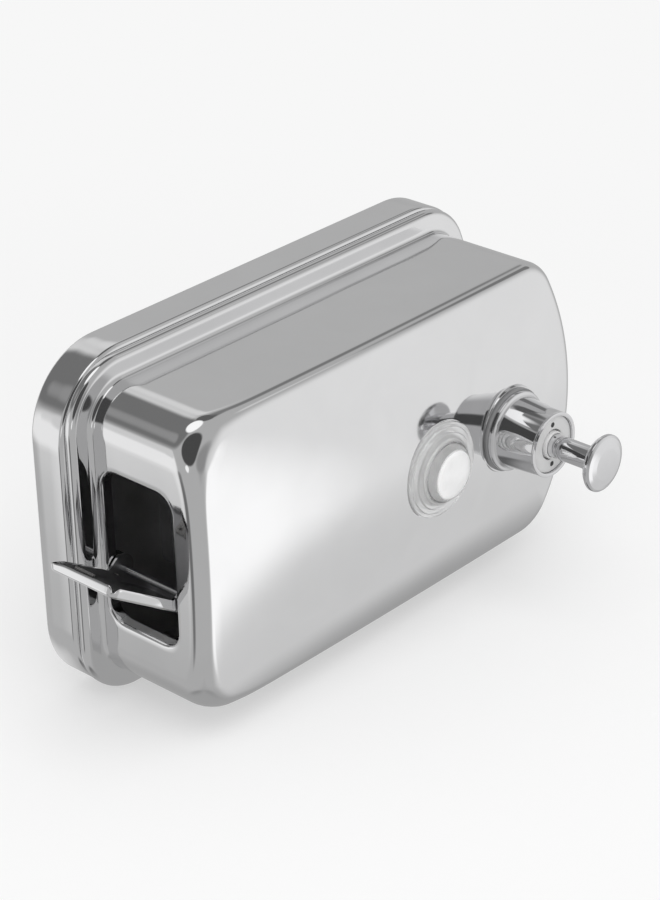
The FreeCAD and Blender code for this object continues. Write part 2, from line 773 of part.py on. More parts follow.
def hinge_pin():
    """The pin across the filler opening, peened over outside both of its eyes."""
    front, back = pin_front_end, pin_back_end
    pin = turned("hinge_pin", [
        (0, front - shell_wall), (pin_head, front - shell_wall), (pin_head, front),
        (pin_radius, front), (pin_radius, back), (pin_head, back),
        (pin_head, back + shell_wall), (0, back + shell_wall)])
    place(pin, pin_x, 0, pin_z)
    node(pin, "hinge_pin")


def lid_spring():
    """The torsion spring on the pin, between the rim and the back eye; its leg turns the flap."""
    space = pin_back_end - shell_wall - (shell_wall - filler_back)
    length = space - (lid_wire + lid_coil_gap) * 2
    back = pin_back_end - shell_wall - lid_wire - lid_coil_gap
    wound = coil(lid_coil, lid_wire, length, lid_coil_turns, "lid_spring_coil")
    lay_along_y(wound)
    place(wound, 0, back, 0)
    leg = cylinder(lid_wire, back - length - lid_leg, back - length, "Y", z=-lid_coil)
    stop = cylinder(lid_wire, -lid_coil, pivot_drop - shell_wall, "Z", x=lid_coil, y=back)
    spring = fuse(wound, leg, stop)
    place(spring, pin_x, 0, pin_z)
    node(spring, "lid_spring")


# ---------------------------------------------------------------- sight window

def window():
    """The clear domed lens, its gasket and the ring nut that clamps it from inside."""
    seat = -window_seat
    spigot = window_hole - fit_gap
    inside = seat + seat_depth
    nut_back = inside + gasket_depth + window_nut_depth
    lens = turned("window_lens", [
        (0, seat - window_height), (window_top_radius, seat - window_height),
        (window_step_radius, seat - window_flange - window_step),
        (window_step_radius, seat - window_flange), (window_radius, seat - window_flange),
        (window_radius, seat), (spigot, seat), (spigot, nut_back), (window_well, nut_back),
        (window_well, seat - window_flange), (0, seat - window_flange)])
    gasket = ring("window_gasket", spigot + fit_gap, window_nut_radius, inside,
                  inside + gasket_depth)
    nut = ring("window_nut", spigot + fit_gap, window_nut_radius, inside + gasket_depth, nut_back)
    for piece in (lens, gasket, nut):
        place(piece, 0, 0, -window_drop)
        node(piece, piece.Name)


# ---------------------------------------------------------------- pump

def on_pump_axis(thing, label):
    place(thing, 0, 0, pump_z)
    return node(thing, label)


def pump_outside():
    """Gasket, chrome housing with its spout hole, front cap, bushing and rod seal."""
    on_pump_axis(ring("pump_gasket", pump_hole, pump_gasket_radius, -housing_base, -pump_seat),
                 "pump_gasket")
    bore = barrel_radius + fit_gap
    mouth = cap_radius + fit_gap
    lip_front = -housing_end
    profile = [(bore, -housing_base), (rim_radius, -housing_base),
               (rim_radius, -housing_base - rim_depth), (housing_root, -housing_base - rim_depth),
               (housing_front, lip_front + cap_sink), (lip_radius, lip_front + cap_sink / 2),
               (lip_radius, lip_front), (mouth, lip_front), (mouth, -cap_back), (bore, -cap_back)]
    housing = turned("housing_profile", profile)
    spout_hole = cylinder(spout_radius, -housing_root - margin, 0, "Z", y=-spout_depth)
    on_pump_axis(cut(housing, spout_hole), "pump_housing")
    cap = ring("cap_blank", collar_radius + fit_gap, cap_radius, -cap_front, -cap_back)
    holes = [cylinder(spanner_radius, -cap_front - margin, -cap_back - cap_depth / 3, "Y",
                      x=spanner_place * side) for side in (-1, 1)]
    on_pump_axis(cut(cap, *holes), "pump_cap")
    on_pump_axis(ring("rod_bushing", rod_radius + fit_gap, collar_radius,
                      -cap_front - collar_height, -cap_back), "rod_bushing")
    on_pump_axis(ring("rod_seal", rod_radius + fit_gap, barrel_radius - rod_seal_inset,
                      -cap_back, -barrel_front), "rod_seal")


def pump_barrel():
    """The plastic cylinder: flanged inside the tank, open at the front, ported at the back."""
    flange_front = -pump_seat + seat_depth + gasket_depth
    flange_back = flange_front + barrel_flange_depth
    barrel = turned("barrel_profile", [
        (barrel_bore, -barrel_front), (barrel_radius, -barrel_front),
        (barrel_radius, flange_front), (barrel_flange, flange_front),
        (barrel_flange, flange_back), (barrel_radius, flange_back),
        (barrel_radius, -barrel_back), (port_radius, -barrel_back),
        (port_radius, -barrel_back - barrel_floor), (barrel_bore, -barrel_back - barrel_floor)])
    outlet = cylinder(spout_bore, -barrel_radius - margin, 0, "Z", y=-spout_depth)
    on_pump_axis(cut(barrel, outlet), "pump_barrel")
    on_pump_axis(ring("barrel_gasket", barrel_radius + fit_gap, barrel_flange,
                      flange_front - gasket_depth, flange_front), "barrel_gasket")
    on_pump_axis(turned("spout_profile", [
        (spout_bore, -spout_reach), (spout_radius, -spout_reach),
        (spout_radius, -barrel_radius - fit_gap), (spout_bore, -barrel_radius - fit_gap)],
        "XZ_Plane"), "spout")
    place(nodes[-1], 0, -spout_depth, pump_z)


def plunger():
    """Everything that the thumb pushes: knob, rod, piston and piston seal."""
    groove = -housing_end - groove_place
    rod = turned("plunger_rod", [
        (0, -knob_back), (rod_radius, -knob_back), (rod_radius, groove - groove_width),
        (rod_radius - groove_depth, groove - groove_width), (rod_radius - groove_depth, groove),
        (rod_radius, groove), (rod_radius, -piston_front), (rod_spigot, -piston_front),
        (rod_spigot, -piston_front + margin), (0, -piston_front + margin)])
    on_pump_axis(rod, "plunger_rod")
    bevel = knob_depth / 3
    knob = turned("knob", [
        (0, -knob_front), (knob_radius - bevel * 2, -knob_front + dome_drop),
        (knob_radius - bevel / 2, -knob_front + dome_drop * 2), (knob_radius, -knob_front + bevel),
        (knob_radius, -knob_back - bevel), (knob_radius - bevel, -knob_back), (0, -knob_back)])
    on_pump_axis(knob, "knob")
    wide = barrel_bore - piston_gap
    narrow = wide - piston_relief
    waist = -piston_back - piston_length / 2
    seal_front = waist + piston_land
    seal_back = seal_front + seal_width
    chamber = outlet_ball + ball_gap
    seat = -piston_back - outlet_land
    profile = [(rod_spigot, -piston_front), (narrow, -piston_front), (narrow, waist), (wide, waist),
               (wide, seal_front), (seal_inner, seal_front), (seal_inner, seal_back),
               (wide, seal_back), (wide, -piston_back), (outlet_seat, -piston_back),
               (outlet_seat, seat), (chamber, seat), (chamber, -piston_front + margin),
               (rod_spigot, -piston_front + margin)]
    ports = cylinder(port_hole, -barrel_bore, barrel_bore, "X",
                     y=-piston_front + margin + port_hole)
    on_pump_axis(cut(turned("piston_profile", profile), ports), "piston")
    on_pump_axis(ring("piston_seal", seal_inner, barrel_bore - seal_fit, seal_front, seal_back),
                 "piston_seal")
    rest = seat - root(outlet_ball * outlet_ball - outlet_seat * outlet_seat)
    ball = doc.addObject("Part::Sphere", "outlet_ball")
    bind(ball, "Radius", outlet_ball)
    place(ball, 0, rest, pump_z)
    node(ball, "outlet_ball")
    space = (rest - outlet_ball) - (-piston_front + margin)
    light_spring = coil(outlet_coil, outlet_wire, space - outlet_wire * 2, outlet_turns,
                        "outlet_spring")
    lay_along_y(light_spring)
    place(light_spring, 0, rest - outlet_ball - outlet_wire, pump_z)
    node(light_spring, "outlet_spring")


def return_spring():
    """The spring between the piston and the floor of the barrel."""
    length = piston_back - barrel_back - barrel_floor
    spring = coil(spring_radius, spring_wire, length - spring_wire * 2, spring_turns,
                  "return_spring")
    lay_along_y(spring)
    place(spring, 0, -barrel_back - barrel_floor - spring_wire, pump_z)
    node(spring, "return_spring")


def inlet_valve():
    """The valve body behind the barrel, its ball, and the pick-up tube with a strainer."""
    seat_z = pump_z - valve_seat
    y = -valve_depth
    stop_z = seat_z + valve_room
    block = fuse(cylinder(valve_radius, pump_z - valve_bottom, pump_z + valve_top, "Z", y=y),
                 cylinder(valve_neck_radius, -barrel_back, -valve_depth, "Y", z=pump_z))
    bores = [cylinder(port_radius, -barrel_back - margin, -valve_depth, "Y", z=pump_z),
             cylinder(inlet_ball + ball_gap, seat_z, stop_z, "Z", y=y),
             cylinder(valve_throat, stop_z, pump_z + port_radius, "Z", y=y),
             cylinder(inlet_seat, seat_z - margin, seat_z, "Z", y=y),
             cylinder(tube_radius, pump_z - valve_bottom - margin, seat_z - margin, "Z", y=y)]
    node(cut(block, *bores), "valve_body")
    ball = doc.addObject("Part::Sphere", "inlet_ball")
    bind(ball, "Radius", inlet_ball)
    place(ball, 0, y, seat_z + root(inlet_ball * inlet_ball - inlet_seat * inlet_seat))
    node(ball, "inlet_ball")
    tube = ring("pickup_tube", tube_bore, tube_radius, -tube_end, seat_z - margin, "XZ_Plane")
    outer = tube_radius + strainer_wall
    floor = -tube_end - margin
    cup = turned("strainer_cup", [
        (0, floor - strainer_wall), (outer, floor - strainer_wall),
        (outer, floor - strainer_wall + strainer_depth),
        (tube_radius, floor - strainer_wall + strainer_depth), (tube_radius, floor), (0, floor)],
        "XZ_Plane")
    hole_z = floor + margin / 2
    strainer = cut(cup, cylinder(strainer_hole, -outer - margin, outer + margin, "X", z=hole_z),
                   cylinder(strainer_hole, -outer - margin, outer + margin, "Y", z=hole_z))
    for piece, label in ((tube, "pickup_tube"), (strainer, "tube_strainer")):
        place(piece, 0, y, 0)
        node(piece, label)


# ---------------------------------------------------------------- build, check and write

def check():
    """Stop if any object failed or any sub-part has no sound shape."""
    for thing in doc.Objects:
        if "Invalid" in thing.State or "Error" in thing.State:
            raise RuntimeError("%s did not build: %s" % (thing.Label, thing.State))
    for thing in nodes:
        if thing.Shape.isNull() or not thing.Shape.isValid() or not thing.Shape.Solids:
            raise RuntimeError("%s has no sound shape" % thing.Label)


def write():
    os.makedirs("parts", exist_ok=True)
    for thing in nodes:
        thing.Shape.exportStep("parts/%s.step" % thing.Label)


for make in (front_shell, back_tray, seam_gasket, wall_bracket, hanger_channel, filler_lid,
             lid_latch, hinge_pin, lid_spring, window, pump_outside, pump_barrel, plunger,
             return_spring, inlet_valve):
    make()
doc.recompute()
check()
write()
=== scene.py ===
import json
import math

import bmesh
import bpy
import numpy as np
from mathutils import Matrix, Vector


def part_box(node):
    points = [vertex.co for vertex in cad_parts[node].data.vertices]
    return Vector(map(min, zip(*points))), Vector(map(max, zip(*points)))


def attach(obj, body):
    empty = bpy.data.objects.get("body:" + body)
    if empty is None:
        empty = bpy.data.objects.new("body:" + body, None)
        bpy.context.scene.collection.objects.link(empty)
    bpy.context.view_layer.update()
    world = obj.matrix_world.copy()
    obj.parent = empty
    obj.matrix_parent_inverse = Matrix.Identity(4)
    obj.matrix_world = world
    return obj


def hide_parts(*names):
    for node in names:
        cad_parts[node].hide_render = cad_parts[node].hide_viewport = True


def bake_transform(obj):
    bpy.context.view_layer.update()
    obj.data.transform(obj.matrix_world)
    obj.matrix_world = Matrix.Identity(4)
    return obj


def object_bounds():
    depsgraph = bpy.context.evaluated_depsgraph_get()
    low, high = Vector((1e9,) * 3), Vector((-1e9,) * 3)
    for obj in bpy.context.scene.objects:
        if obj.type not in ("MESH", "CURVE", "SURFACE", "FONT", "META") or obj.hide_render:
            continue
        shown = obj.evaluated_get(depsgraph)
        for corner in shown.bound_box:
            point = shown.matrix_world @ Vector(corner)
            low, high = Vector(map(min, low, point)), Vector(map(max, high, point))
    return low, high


# A wall mounted soap dispenser, lying on its left side.
# Sizes are millimetres in the CAD frame, X right, -Y towards the front and Z up, except where a
# comment says metres.

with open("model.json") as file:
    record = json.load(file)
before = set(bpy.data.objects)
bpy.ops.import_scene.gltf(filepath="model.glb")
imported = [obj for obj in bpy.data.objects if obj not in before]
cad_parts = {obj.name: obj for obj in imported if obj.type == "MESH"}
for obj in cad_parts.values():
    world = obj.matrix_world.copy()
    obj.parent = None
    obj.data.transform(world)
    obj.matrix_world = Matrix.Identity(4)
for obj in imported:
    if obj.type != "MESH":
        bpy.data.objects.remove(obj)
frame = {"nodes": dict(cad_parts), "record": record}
cad_box = [list(corner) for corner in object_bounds()]

MM = 0.001
TAU = 2 * math.pi

# Tank outline: half width, top, corner radius, bottom bow.
HALF = 51.2
TOP = 89.5
BOTTOM = 90.78
CORNER = 14.2
BOW = 112.7
BOW_CENTRE = BOW - BOTTOM
WALL = 0.8

# Front of the tank: depth at its side edges, and how far it arches at three levels.
FRONT = 60.1
CROWN_LEVELS = (91.5, -0.65, -92.8)
CROWNS = (1.6, 8.75, 4.4)

# The round along the front's edge, what is added to it at the two corners beside the filler opening
# and how far that reaches, and what is added along the end between them.
EDGE = 5.0
CORNER_EDGE = 5.0
CORNER_EDGE_REACH = 13.0
TOP_EDGE = 0.8

# Seam bead and tray: places along Y, and reaches outside the tank's outline.
SEAM = 17.3
TRAY_FRONT = 13.6
BEAD_REACH = 7.3
BEAD_ROUND = 2.3
GROOVE_ROUND = 2.0
TRAY_REACH = 8.8
TRAY_CORNER_GROWTH = 4.4
TRAY_ROUND = 1.6
TRAY_LIP = 6.4
TRAY_FOLD = 0.9

# Recess for the bracket in the tray's back.
RECESS_HALF_X = 33.0
RECESS_HALF_Z = 46.0
RECESS_CORNER = 4.0
RECESS_ROUND = 1.0
RECESS_DEPTH = 5.6

# Filler opening. Its rim is dull between two places along Y: the back side beyond them is polished.
FILLER_HALF = 26.7
FILLER_MIDDLE = 35.9
FILLER_HALF_DEPTH = 15.1
FILLER_CORNER = 6.5
FILLER_RIM = 4.2
FILLER_FOLD = 1.1
DULL_RIM = (-54.0, -25.0)

# Flap, in its own frame: the pin is the origin, X runs to the free end, and Z is the outside.
PIN = Vector((-10.1, -35.9, 84.0))
LID_OPEN = math.radians(57)
LID_TAIL = 15.4
LID_REACH = 33.6
LID_SIDE = 14.6
LID_MIDDLE = 9.0
LID_TOP = 5.5
LID_LIP = 3.6
LID_NEAR_CORNER = 3.6
LID_FAR_CORNER = 3.5
LID_TAIL_CORNER = 6.0
LID_CORNER_STEPS = 16
LID_FOLD = 1.2
LID_FLARE = math.radians(15)
LID_FAR_LIFT = 1.2
LID_FAR_SPAN = 8.0
LID_NOTCH = 1.9
LID_NOTCH_SPAN = 0.17
EAR = 4.6
EAR_FILLET = 1.6
PIN_RADIUS = 1.15
PIN_FRONT = -52.6
PIN_BACK = -16.5
PIN_EYE = 2.6

# Window and pump.
WINDOW_Z = -15.0
WINDOW_AT = (0.0, 0.0, WINDOW_Z)
WINDOW_SEAT = 68.3
WINDOW_SEAT_RADIUS = 16.5
WINDOW_HOLE = 12.0
PUMP_Z = -52.2
PUMP_AT = (0.0, 0.0, PUMP_Z)
PUMP_SEAT = 68.4
PUMP_SEAT_RADIUS = 14.95
PUMP_HOLE = 8.2
SEAT_WALL = 0.35
ROD = 4.0
PISTON = 6.05
BARREL = 6.2
BARREL_OUTSIDE = 7.9
BARREL_FRONT = -80.0
BARREL_FLANGE = -64.2
SPOUT_Y = -76.0
PICKUP_Y = -31.0


# ------------------------ mesh helpers

class Sheet:
    """Points and faces gathered for one mesh, in millimetres."""

    def __init__(self):
        self.points = []
        self.faces = []

    def add(self, points):
        """Adds points and gives back their indices."""
        first = len(self.points)
        self.points.extend(tuple(p) for p in points)
        return list(range(first, len(self.points)))

    def bridge(self, a, b, closed=True, skipped=()):
        """Quads between two rows of equal length, but for those that start at skipped places."""
        count = len(a)
        for i in range(count if closed else count - 1):
            if i not in skipped:
                j = (i + 1) % count
                self.faces.append((a[i], a[j], b[j], b[i]))

    def skin(self, rows, closed=True):
        """Quads between each row and the next."""
        for a, b in zip(rows, rows[1:]):
            self.bridge(a, b, closed)

    def extend(self, row, points):
        """Adds a closed row of points joined to the row before it, and gives back its indices."""
        added = self.add(points)
        self.bridge(row, added)
        return added

    def draw_in(self, row, targets, steps):
        """Goes from a closed row to its targets in equal steps, and gives back the last row."""
        starts = [self.points[i] for i in row]
        for k in range(1, steps + 1):
            t = k / steps
            row = self.extend(row, [[a * (1 - t) + b * t for a, b in zip(start, target)]
                                    for start, target in zip(starts, targets)])
        return row

    def fan(self, row, centre):
        """Triangles from a closed row to one point."""
        for i in range(len(row)):
            self.faces.append((row[i], row[(i + 1) % len(row)], centre))


def mark_sharp(mesh, degrees):
    """Smooth shading everywhere but across edges that turn more than the angle."""
    limit = math.radians(degrees)
    bm = bmesh.new()
    bm.from_mesh(mesh)
    for face in bm.faces:
        face.smooth = True
    for edge in bm.edges:
        edge.smooth = len(edge.link_faces) == 2 and edge.calc_face_angle() < limit
    bm.to_mesh(mesh)
    bm.free()


def placed(name, data):
    """A new object in the scene with its data."""
    thing = bpy.data.objects.new(name, data)
    bpy.context.scene.collection.objects.link(thing)
    return thing


def thicken(thing, thickness):
    """Gives a sheet its wall, on the side that its normals point away from."""
    thin = thing.data
    solid = thing.modifiers.new("wall", "SOLIDIFY")
    solid.thickness = thickness * MM
    solid.offset = -1
    solid.use_even_offset = True
    solid.material_offset = len(thin.materials) - 1
    solid.material_offset_rim = 0
    bpy.context.view_layer.update()
    shown = thing.evaluated_get(bpy.context.evaluated_depsgraph_get())
    thing.data = bpy.data.meshes.new_from_object(shown)
    thing.data.name = thing.name
    thing.modifiers.clear()
    bpy.data.meshes.remove(thin)


def piece(name, sheet, node=None, body="tank", slot=None, materials=(), thickness=0.0, sharp=30.0,
          facing=None):
    """A finished piece from a sheet: cleaned, thickened inwards if asked and shaded.

    It replaces its node, if it has one. Its material is the finish of its slot, or of the node's slot,
    if it names none. It rides on its body, or on none.
    facing is a point and a direction in millimetres: the face nearest the point has to face that way.
    """
    slot = slot or SLOTS[node]
    mesh = bpy.data.meshes.new(name)
    mesh.from_pydata([tuple(c * MM for c in p) for p in sheet.points], [], sheet.faces)
    bm = bmesh.new()
    bm.from_mesh(mesh)
    bmesh.ops.remove_doubles(bm, verts=bm.verts, dist=2e-6)
    bmesh.ops.dissolve_degenerate(bm, edges=bm.edges, dist=1e-7)
    bmesh.ops.recalc_face_normals(bm, faces=bm.faces)
    if facing:
        place, direction = Vector(facing[0]) * MM, Vector(facing[1])
        nearest = min(bm.faces, key=lambda f: (f.calc_center_median() - place).length_squared)
        if nearest.normal.dot(direction) < 0:
            bmesh.ops.reverse_faces(bm, faces=bm.faces)
    bm.to_mesh(mesh)
    bm.free()
    thing = placed(name, mesh)
    for material in materials or [FINISHES[slot]]:
        mesh.materials.append(material)
    if thickness:
        thicken(thing, thickness)
    mark_sharp(thing.data, sharp)
    if body:
        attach(thing, body)
    if node:
        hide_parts(node)
    return thing


def softened(profile, radius, closed, steps=5):
    """A polyline with each corner rounded; a corner takes its own radius as a third number."""
    count = len(profile)
    result = []
    for i, corner in enumerate(profile):
        own = corner[2] if len(corner) > 2 else radius
        here = Vector(corner[:2])
        before = Vector(profile[i - 1][:2]) - here
        after = Vector(profile[(i + 1) % count][:2]) - here
        is_end = not closed and i in (0, count - 1)
        bare = is_end or own <= 0 or min(before.length, after.length) < 1e-6
        angle = math.pi if bare else before.angle(after)
        if angle > math.pi - 0.05:
            result.append(tuple(here))
            continue
        trim = min(own / math.tan(angle / 2), before.length * 0.45, after.length * 0.45)
        start = here + before.normalized() * trim
        end = here + after.normalized() * trim
        for k in range(steps + 1):
            t = k / steps
            result.append(tuple(start * (1 - t) ** 2 + here * (2 * t * (1 - t)) + end * t ** 2))
    return result


def at_axis(axis, centre, radius, angle, along):
    """A point round an axis through centre: Y for the pump and window, Z for upright tubes."""
    across, up = radius * math.cos(angle), radius * math.sin(angle)
    if axis == "Y":
        return (centre[0] + across, along, centre[2] + up)
    return (centre[0] + across, centre[1] + up, along)


def lathe(name, profile, centre, node=None, body="tank", slot=None, materials=(), axis="Y", soft=0.15,
          turns=112, sharp=40.0):
    """A turned piece. The profile is (radius, place along the axis) points, each with its own corner
    radius if it has one; it closes on itself or, if both its ends lie on the axis, ends there."""
    closed = profile[0][0] > 1e-6
    sheet = Sheet()
    rows = []
    for radius, along in softened(profile, soft, closed):
        rows.append(sheet.add([at_axis(axis, centre, radius, TAU * k / turns, along)
                               for k in range(turns if radius > 1e-6 else 1)]))
    pairs = list(zip(rows, rows[1:]))
    if closed:
        pairs.append((rows[-1], rows[0]))
    for a, b in pairs:
        if len(a) == 1:
            sheet.fan(b, a[0])
        elif len(b) == 1:
            sheet.fan(a, b[0])
        else:
            sheet.bridge(a, b)
    piece(name, sheet, node, body, slot, materials, sharp=sharp)


def ring(inner, outer, start, end):
    """The profile of a plain ring."""
    return [(inner, start), (outer, start), (outer, end), (inner, end)]


def ball(name, node, body):
    """A valve ball of the size and in the place of its node."""
    low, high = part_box(node)
    centre = tuple((low + high) / 2 / MM)
    radius = (high.x - low.x) / 2 / MM
    steps = 24
    profile = [(radius * math.sin(math.pi * k / steps), centre[2] - radius * math.cos(math.pi * k / steps))
               for k in range(steps + 1)]
    profile[-1] = (0.0, centre[2] + radius)
    lathe(name, profile, centre, node, body, materials=[FINISHES["chrome_plate"]], axis="Z", soft=0,
          turns=40)


def wire(name, path, radius, node, around=14):
    """A spring's round wire along a path of points, with domed ends. It isn't on a body."""
    bulge = 0.6
    path = [Vector(p) for p in path]
    last = len(path) - 1
    tangents = [(path[min(i + 1, last)] - path[max(i - 1, 0)]).normalized() for i in range(last + 1)]
    dome = [(math.sin(a) * bulge, math.cos(a)) for a in (0.5, 1.0, 1.3)]
    side = tangents[0].orthogonal().normalized()
    sheet = Sheet()
    rows = []
    for i, (point, tangent) in enumerate(zip(path, tangents)):
        side = (side - tangent * side.dot(tangent)).normalized()
        other = tangent.cross(side)
        rings = [(0.0, 1.0)]
        if i == 0:
            rings = [(-shift, scale) for shift, scale in dome[::-1]] + rings
        if i == last:
            rings = rings + dome
        for shift, scale in rings:
            middle = point + tangent * (radius * shift)
            rows.append(sheet.add([middle + (side * math.cos(TAU * k / around)
                                             + other * math.sin(TAU * k / around)) * (radius * scale)
                                   for k in range(around)]))
    sheet.skin(rows)
    sheet.fan(rows[0], sheet.add([path[0] - tangents[0] * radius * bulge])[0])
    sheet.fan(rows[-1], sheet.add([path[-1] + tangents[-1] * radius * bulge])[0])
    return piece(name, sheet, node, body=None, sharp=60)


# ------------------------ outlines

def eased(t):
    """A smooth step from 0 to 1."""
    t = min(max(t, 0.0), 1.0)
    return t * t * (3 - 2 * t)


def quarter(count):
    """The sine and cosine at equal steps of a quarter turn, without its start."""
    angles = [math.pi / 2 * k / count for k in range(1, count + 1)]
    return [(math.sin(a), math.cos(a)) for a in angles]


def arc_points(cx, cz, radius, start, end, count):
    """(x, z, normal x, normal z) along an arc, ends included, angles in degrees."""
    result = []
    for k in range(count + 1):
        a = math.radians(start + (end - start) * k / count)
        result.append((cx + radius * math.cos(a), cz + radius * math.sin(a), math.cos(a), math.sin(a)))
    return result


def line_points(start, end, normal, count):
    """Points inside a straight run, ends left out."""
    return [(start[0] + (end[0] - start[0]) * k / count, start[1] + (end[1] - start[1]) * k / count,
             normal[0], normal[1]) for k in range(1, count)]


def tank_outline(growth, corner_steps=20, side_steps=96, top_steps=96, bow_steps=70):
    """The tank's outline with its normals; its corners are growth rounder than the shell's."""
    r = CORNER + growth
    corner_x = HALF - r
    corner_z = BOW_CENTRE - math.sqrt((BOW - r) ** 2 - corner_x ** 2)
    swing = math.degrees(math.atan2(corner_x, BOW_CENTRE - corner_z))
    points = arc_points(corner_x, TOP - r, r, 0, 90, corner_steps)
    first_top = len(points) - 1
    points += line_points((corner_x, TOP), (-corner_x, TOP), (0, 1), top_steps)
    last_top = len(points)
    points += arc_points(-corner_x, TOP - r, r, 90, 180, corner_steps)
    points += line_points((-HALF, TOP - r), (-HALF, corner_z), (-1, 0), side_steps)
    points += arc_points(-corner_x, corner_z, r, 180, 270 - swing, corner_steps)
    points += arc_points(0, BOW_CENTRE, BOW, 270 - swing, 270 + swing, bow_steps)[1:-1]
    points += arc_points(corner_x, corner_z, r, 270 + swing, 360, corner_steps)
    points += line_points((HALF, corner_z), (HALF, TOP - r), (1, 0), side_steps)
    return np.array(points), first_top, last_top


def around_tank(outline, reach, depth):
    """The outline moved outwards by reach, at a place along Y."""
    return [(x + nx * reach, depth, z + nz * reach) for x, z, nx, nz in outline]


def crown_at(z):
    """How far the front arches at a level: a parabola through the three known levels."""
    total = 0.0
    for i, level in enumerate(CROWN_LEVELS):
        term = CROWNS[i]
        for j, other in enumerate(CROWN_LEVELS):
            if j != i:
                term = term * (z - other) / (level - other)
        total = total + term
    return total


def front_y(x, z):
    """The arched front's surface."""
    crown = crown_at(z)
    radius = (HALF * HALF + crown * crown) / (2 * crown)
    return -(FRONT + crown) + radius - math.sqrt(radius * radius - min(x * x, radius * radius * 0.9))


def front_point(x, z):
    """A point of the front, with its two flat round seats pressed in."""
    y = front_y(x, z)
    for seat_z, seat_y, radius in ((WINDOW_Z, WINDOW_SEAT, WINDOW_SEAT_RADIUS),
                                   (PUMP_Z, PUMP_SEAT, PUMP_SEAT_RADIUS)):
        away = math.hypot(x, z - seat_z) - radius
        t = eased((SEAT_WALL - away) / SEAT_WALL)
        y = y * (1 - t) - seat_y * t
    return (x, y, z)


def rounded_ray(half_x, half_y, corner, angle):
    """Where a ray from the middle meets a rounded rectangle, with the outline's normal there."""
    c, s = abs(math.cos(angle)), abs(math.sin(angle))
    sx = 1 if math.cos(angle) >= 0 else -1
    sy = 1 if math.sin(angle) >= 0 else -1
    cx, cy = half_x - corner, half_y - corner
    if c > 1e-9 and half_x * s / c <= cy:
        return half_x * sx, half_x * s / c * sy, float(sx), 0.0
    if s > 1e-9 and half_y * c / s <= cx:
        return half_y * c / s * sx, half_y * sy, 0.0, float(sy)
    b = c * cx + s * cy
    reach = b + math.sqrt(max(b * b - (cx * cx + cy * cy - corner * corner), 0.0))
    x, y = c * reach, s * reach
    return x * sx, y * sy, (x - cx) / corner * sx, (y - cy) / corner * sy


# ------------------------ materials

# The part of a noise texture's range that tones and gloss are spread over.
NOISE_RANGE = (0.35, 0.65)
ACRYLIC_IOR = 1.49

# How clear and how rough the lens is, as (distance from the window's axis, value): milky on its worn
# face, clear on the dome's side and a little clouded on its steps.
LENS_WIDEST = 20.0
LENS_CLEAR = ((8.0, 0.24), (8.8, 0.96), (10.0, 0.96), (10.8, 0.60))
LENS_ROUGH = ((8.0, 0.30), (8.8, 0.05), (10.0, 0.05), (10.8, 0.08))


def grey(tone):
    """An opaque grey, from black at 0 to white at 1."""
    return (tone, tone, tone, 1)


def add_node(tree, kind, inputs=None, **properties):
    """A new node with its properties and its inputs.

    An input is a value, the socket that feeds it, or a node whose first output does.
    """
    node = tree.nodes.new("ShaderNode" + kind)
    for name, value in properties.items():
        setattr(node, name, value)
    for key, value in (inputs or {}).items():
        if isinstance(value, bpy.types.Node):
            value = value.outputs[0]
        if isinstance(value, bpy.types.NodeSocket):
            tree.links.new(value, node.inputs[key])
        else:
            node.inputs[key].default_value = value
    return node


def maths(tree, kind, operation, *values):
    """The number that a Math or VectorMath node makes of its values."""
    return add_node(tree, kind, dict(enumerate(values)), operation=operation).outputs["Value"]


def node_material(name):
    """A new material with its node tree and its Principled shader."""
    material = bpy.data.materials.new(name)
    material.use_nodes = True
    tree = material.node_tree
    return material, tree, tree.nodes["Principled BSDF"]


def noise(tree, scale, detail=3.0, stretch=(1, 1, 1), distortion=0.0):
    """Noise in the object's own coordinates, in metres."""
    place = add_node(tree, "TexCoord")
    mapping = add_node(tree, "Mapping", {"Vector": place.outputs["Object"], "Scale": stretch})
    return add_node(tree, "TexNoise", {"Vector": mapping, "Scale": scale, "Detail": detail,
                                       "Distortion": distortion})


def gloss(tree, shader, source, low, high):
    """A roughness that drifts between two values."""
    start, end = NOISE_RANGE
    ramp = add_node(tree, "MapRange", {"Value": source, "From Min": start, "From Max": end,
                                       "To Min": low, "To Max": high})
    tree.links.new(ramp.outputs["Result"], shader.inputs["Roughness"])


def tint(tree, shader, source, dark, light):
    """A base colour that drifts between two tones."""
    ramp = add_node(tree, "ValToRGB", {"Fac": source})
    for element, position, colour in zip(ramp.color_ramp.elements, NOISE_RANGE, (dark, light)):
        element.position = position
        element.color = (*colour, 1)
    tree.links.new(ramp.outputs["Color"], shader.inputs["Base Color"])


def bump(tree, shader, source, strength, distance):
    """A fine relief, its depth in metres."""
    relief = add_node(tree, "Bump", {"Height": source, "Strength": strength, "Distance": distance})
    tree.links.new(relief.outputs["Normal"], shader.inputs["Normal"])
    return relief


def metal(name, dark, light, rough, grain, grain_strength, stretch=(1, 1, 1), waves=0.0):
    """Metal with smudges in its gloss, a fine polishing grain and, if pressed thin, slow waves."""
    material, tree, shader = node_material(name)
    shader.inputs["Metallic"].default_value = 1.0
    tint(tree, shader, noise(tree, 45, 4, distortion=0.6), dark, light)
    gloss(tree, shader, noise(tree, 70, 5, distortion=1.0), *rough)
    fine = bump(tree, shader, noise(tree, grain, 2, stretch), grain_strength, 0.00002)
    if waves:
        bump(tree, fine, noise(tree, 26, 1), 1.0, waves)
    return material


def plastic(name, dark, light, rough):
    """Moulded plastic or rubber with a slight drift of tone and a fine surface."""
    material, tree, shader = node_material(name)
    tint(tree, shader, noise(tree, 60, 3), dark, light)
    gloss(tree, shader, noise(tree, 180, 4), *rough)
    bump(tree, shader, noise(tree, 900, 3), 0.1, 0.00005)
    return material


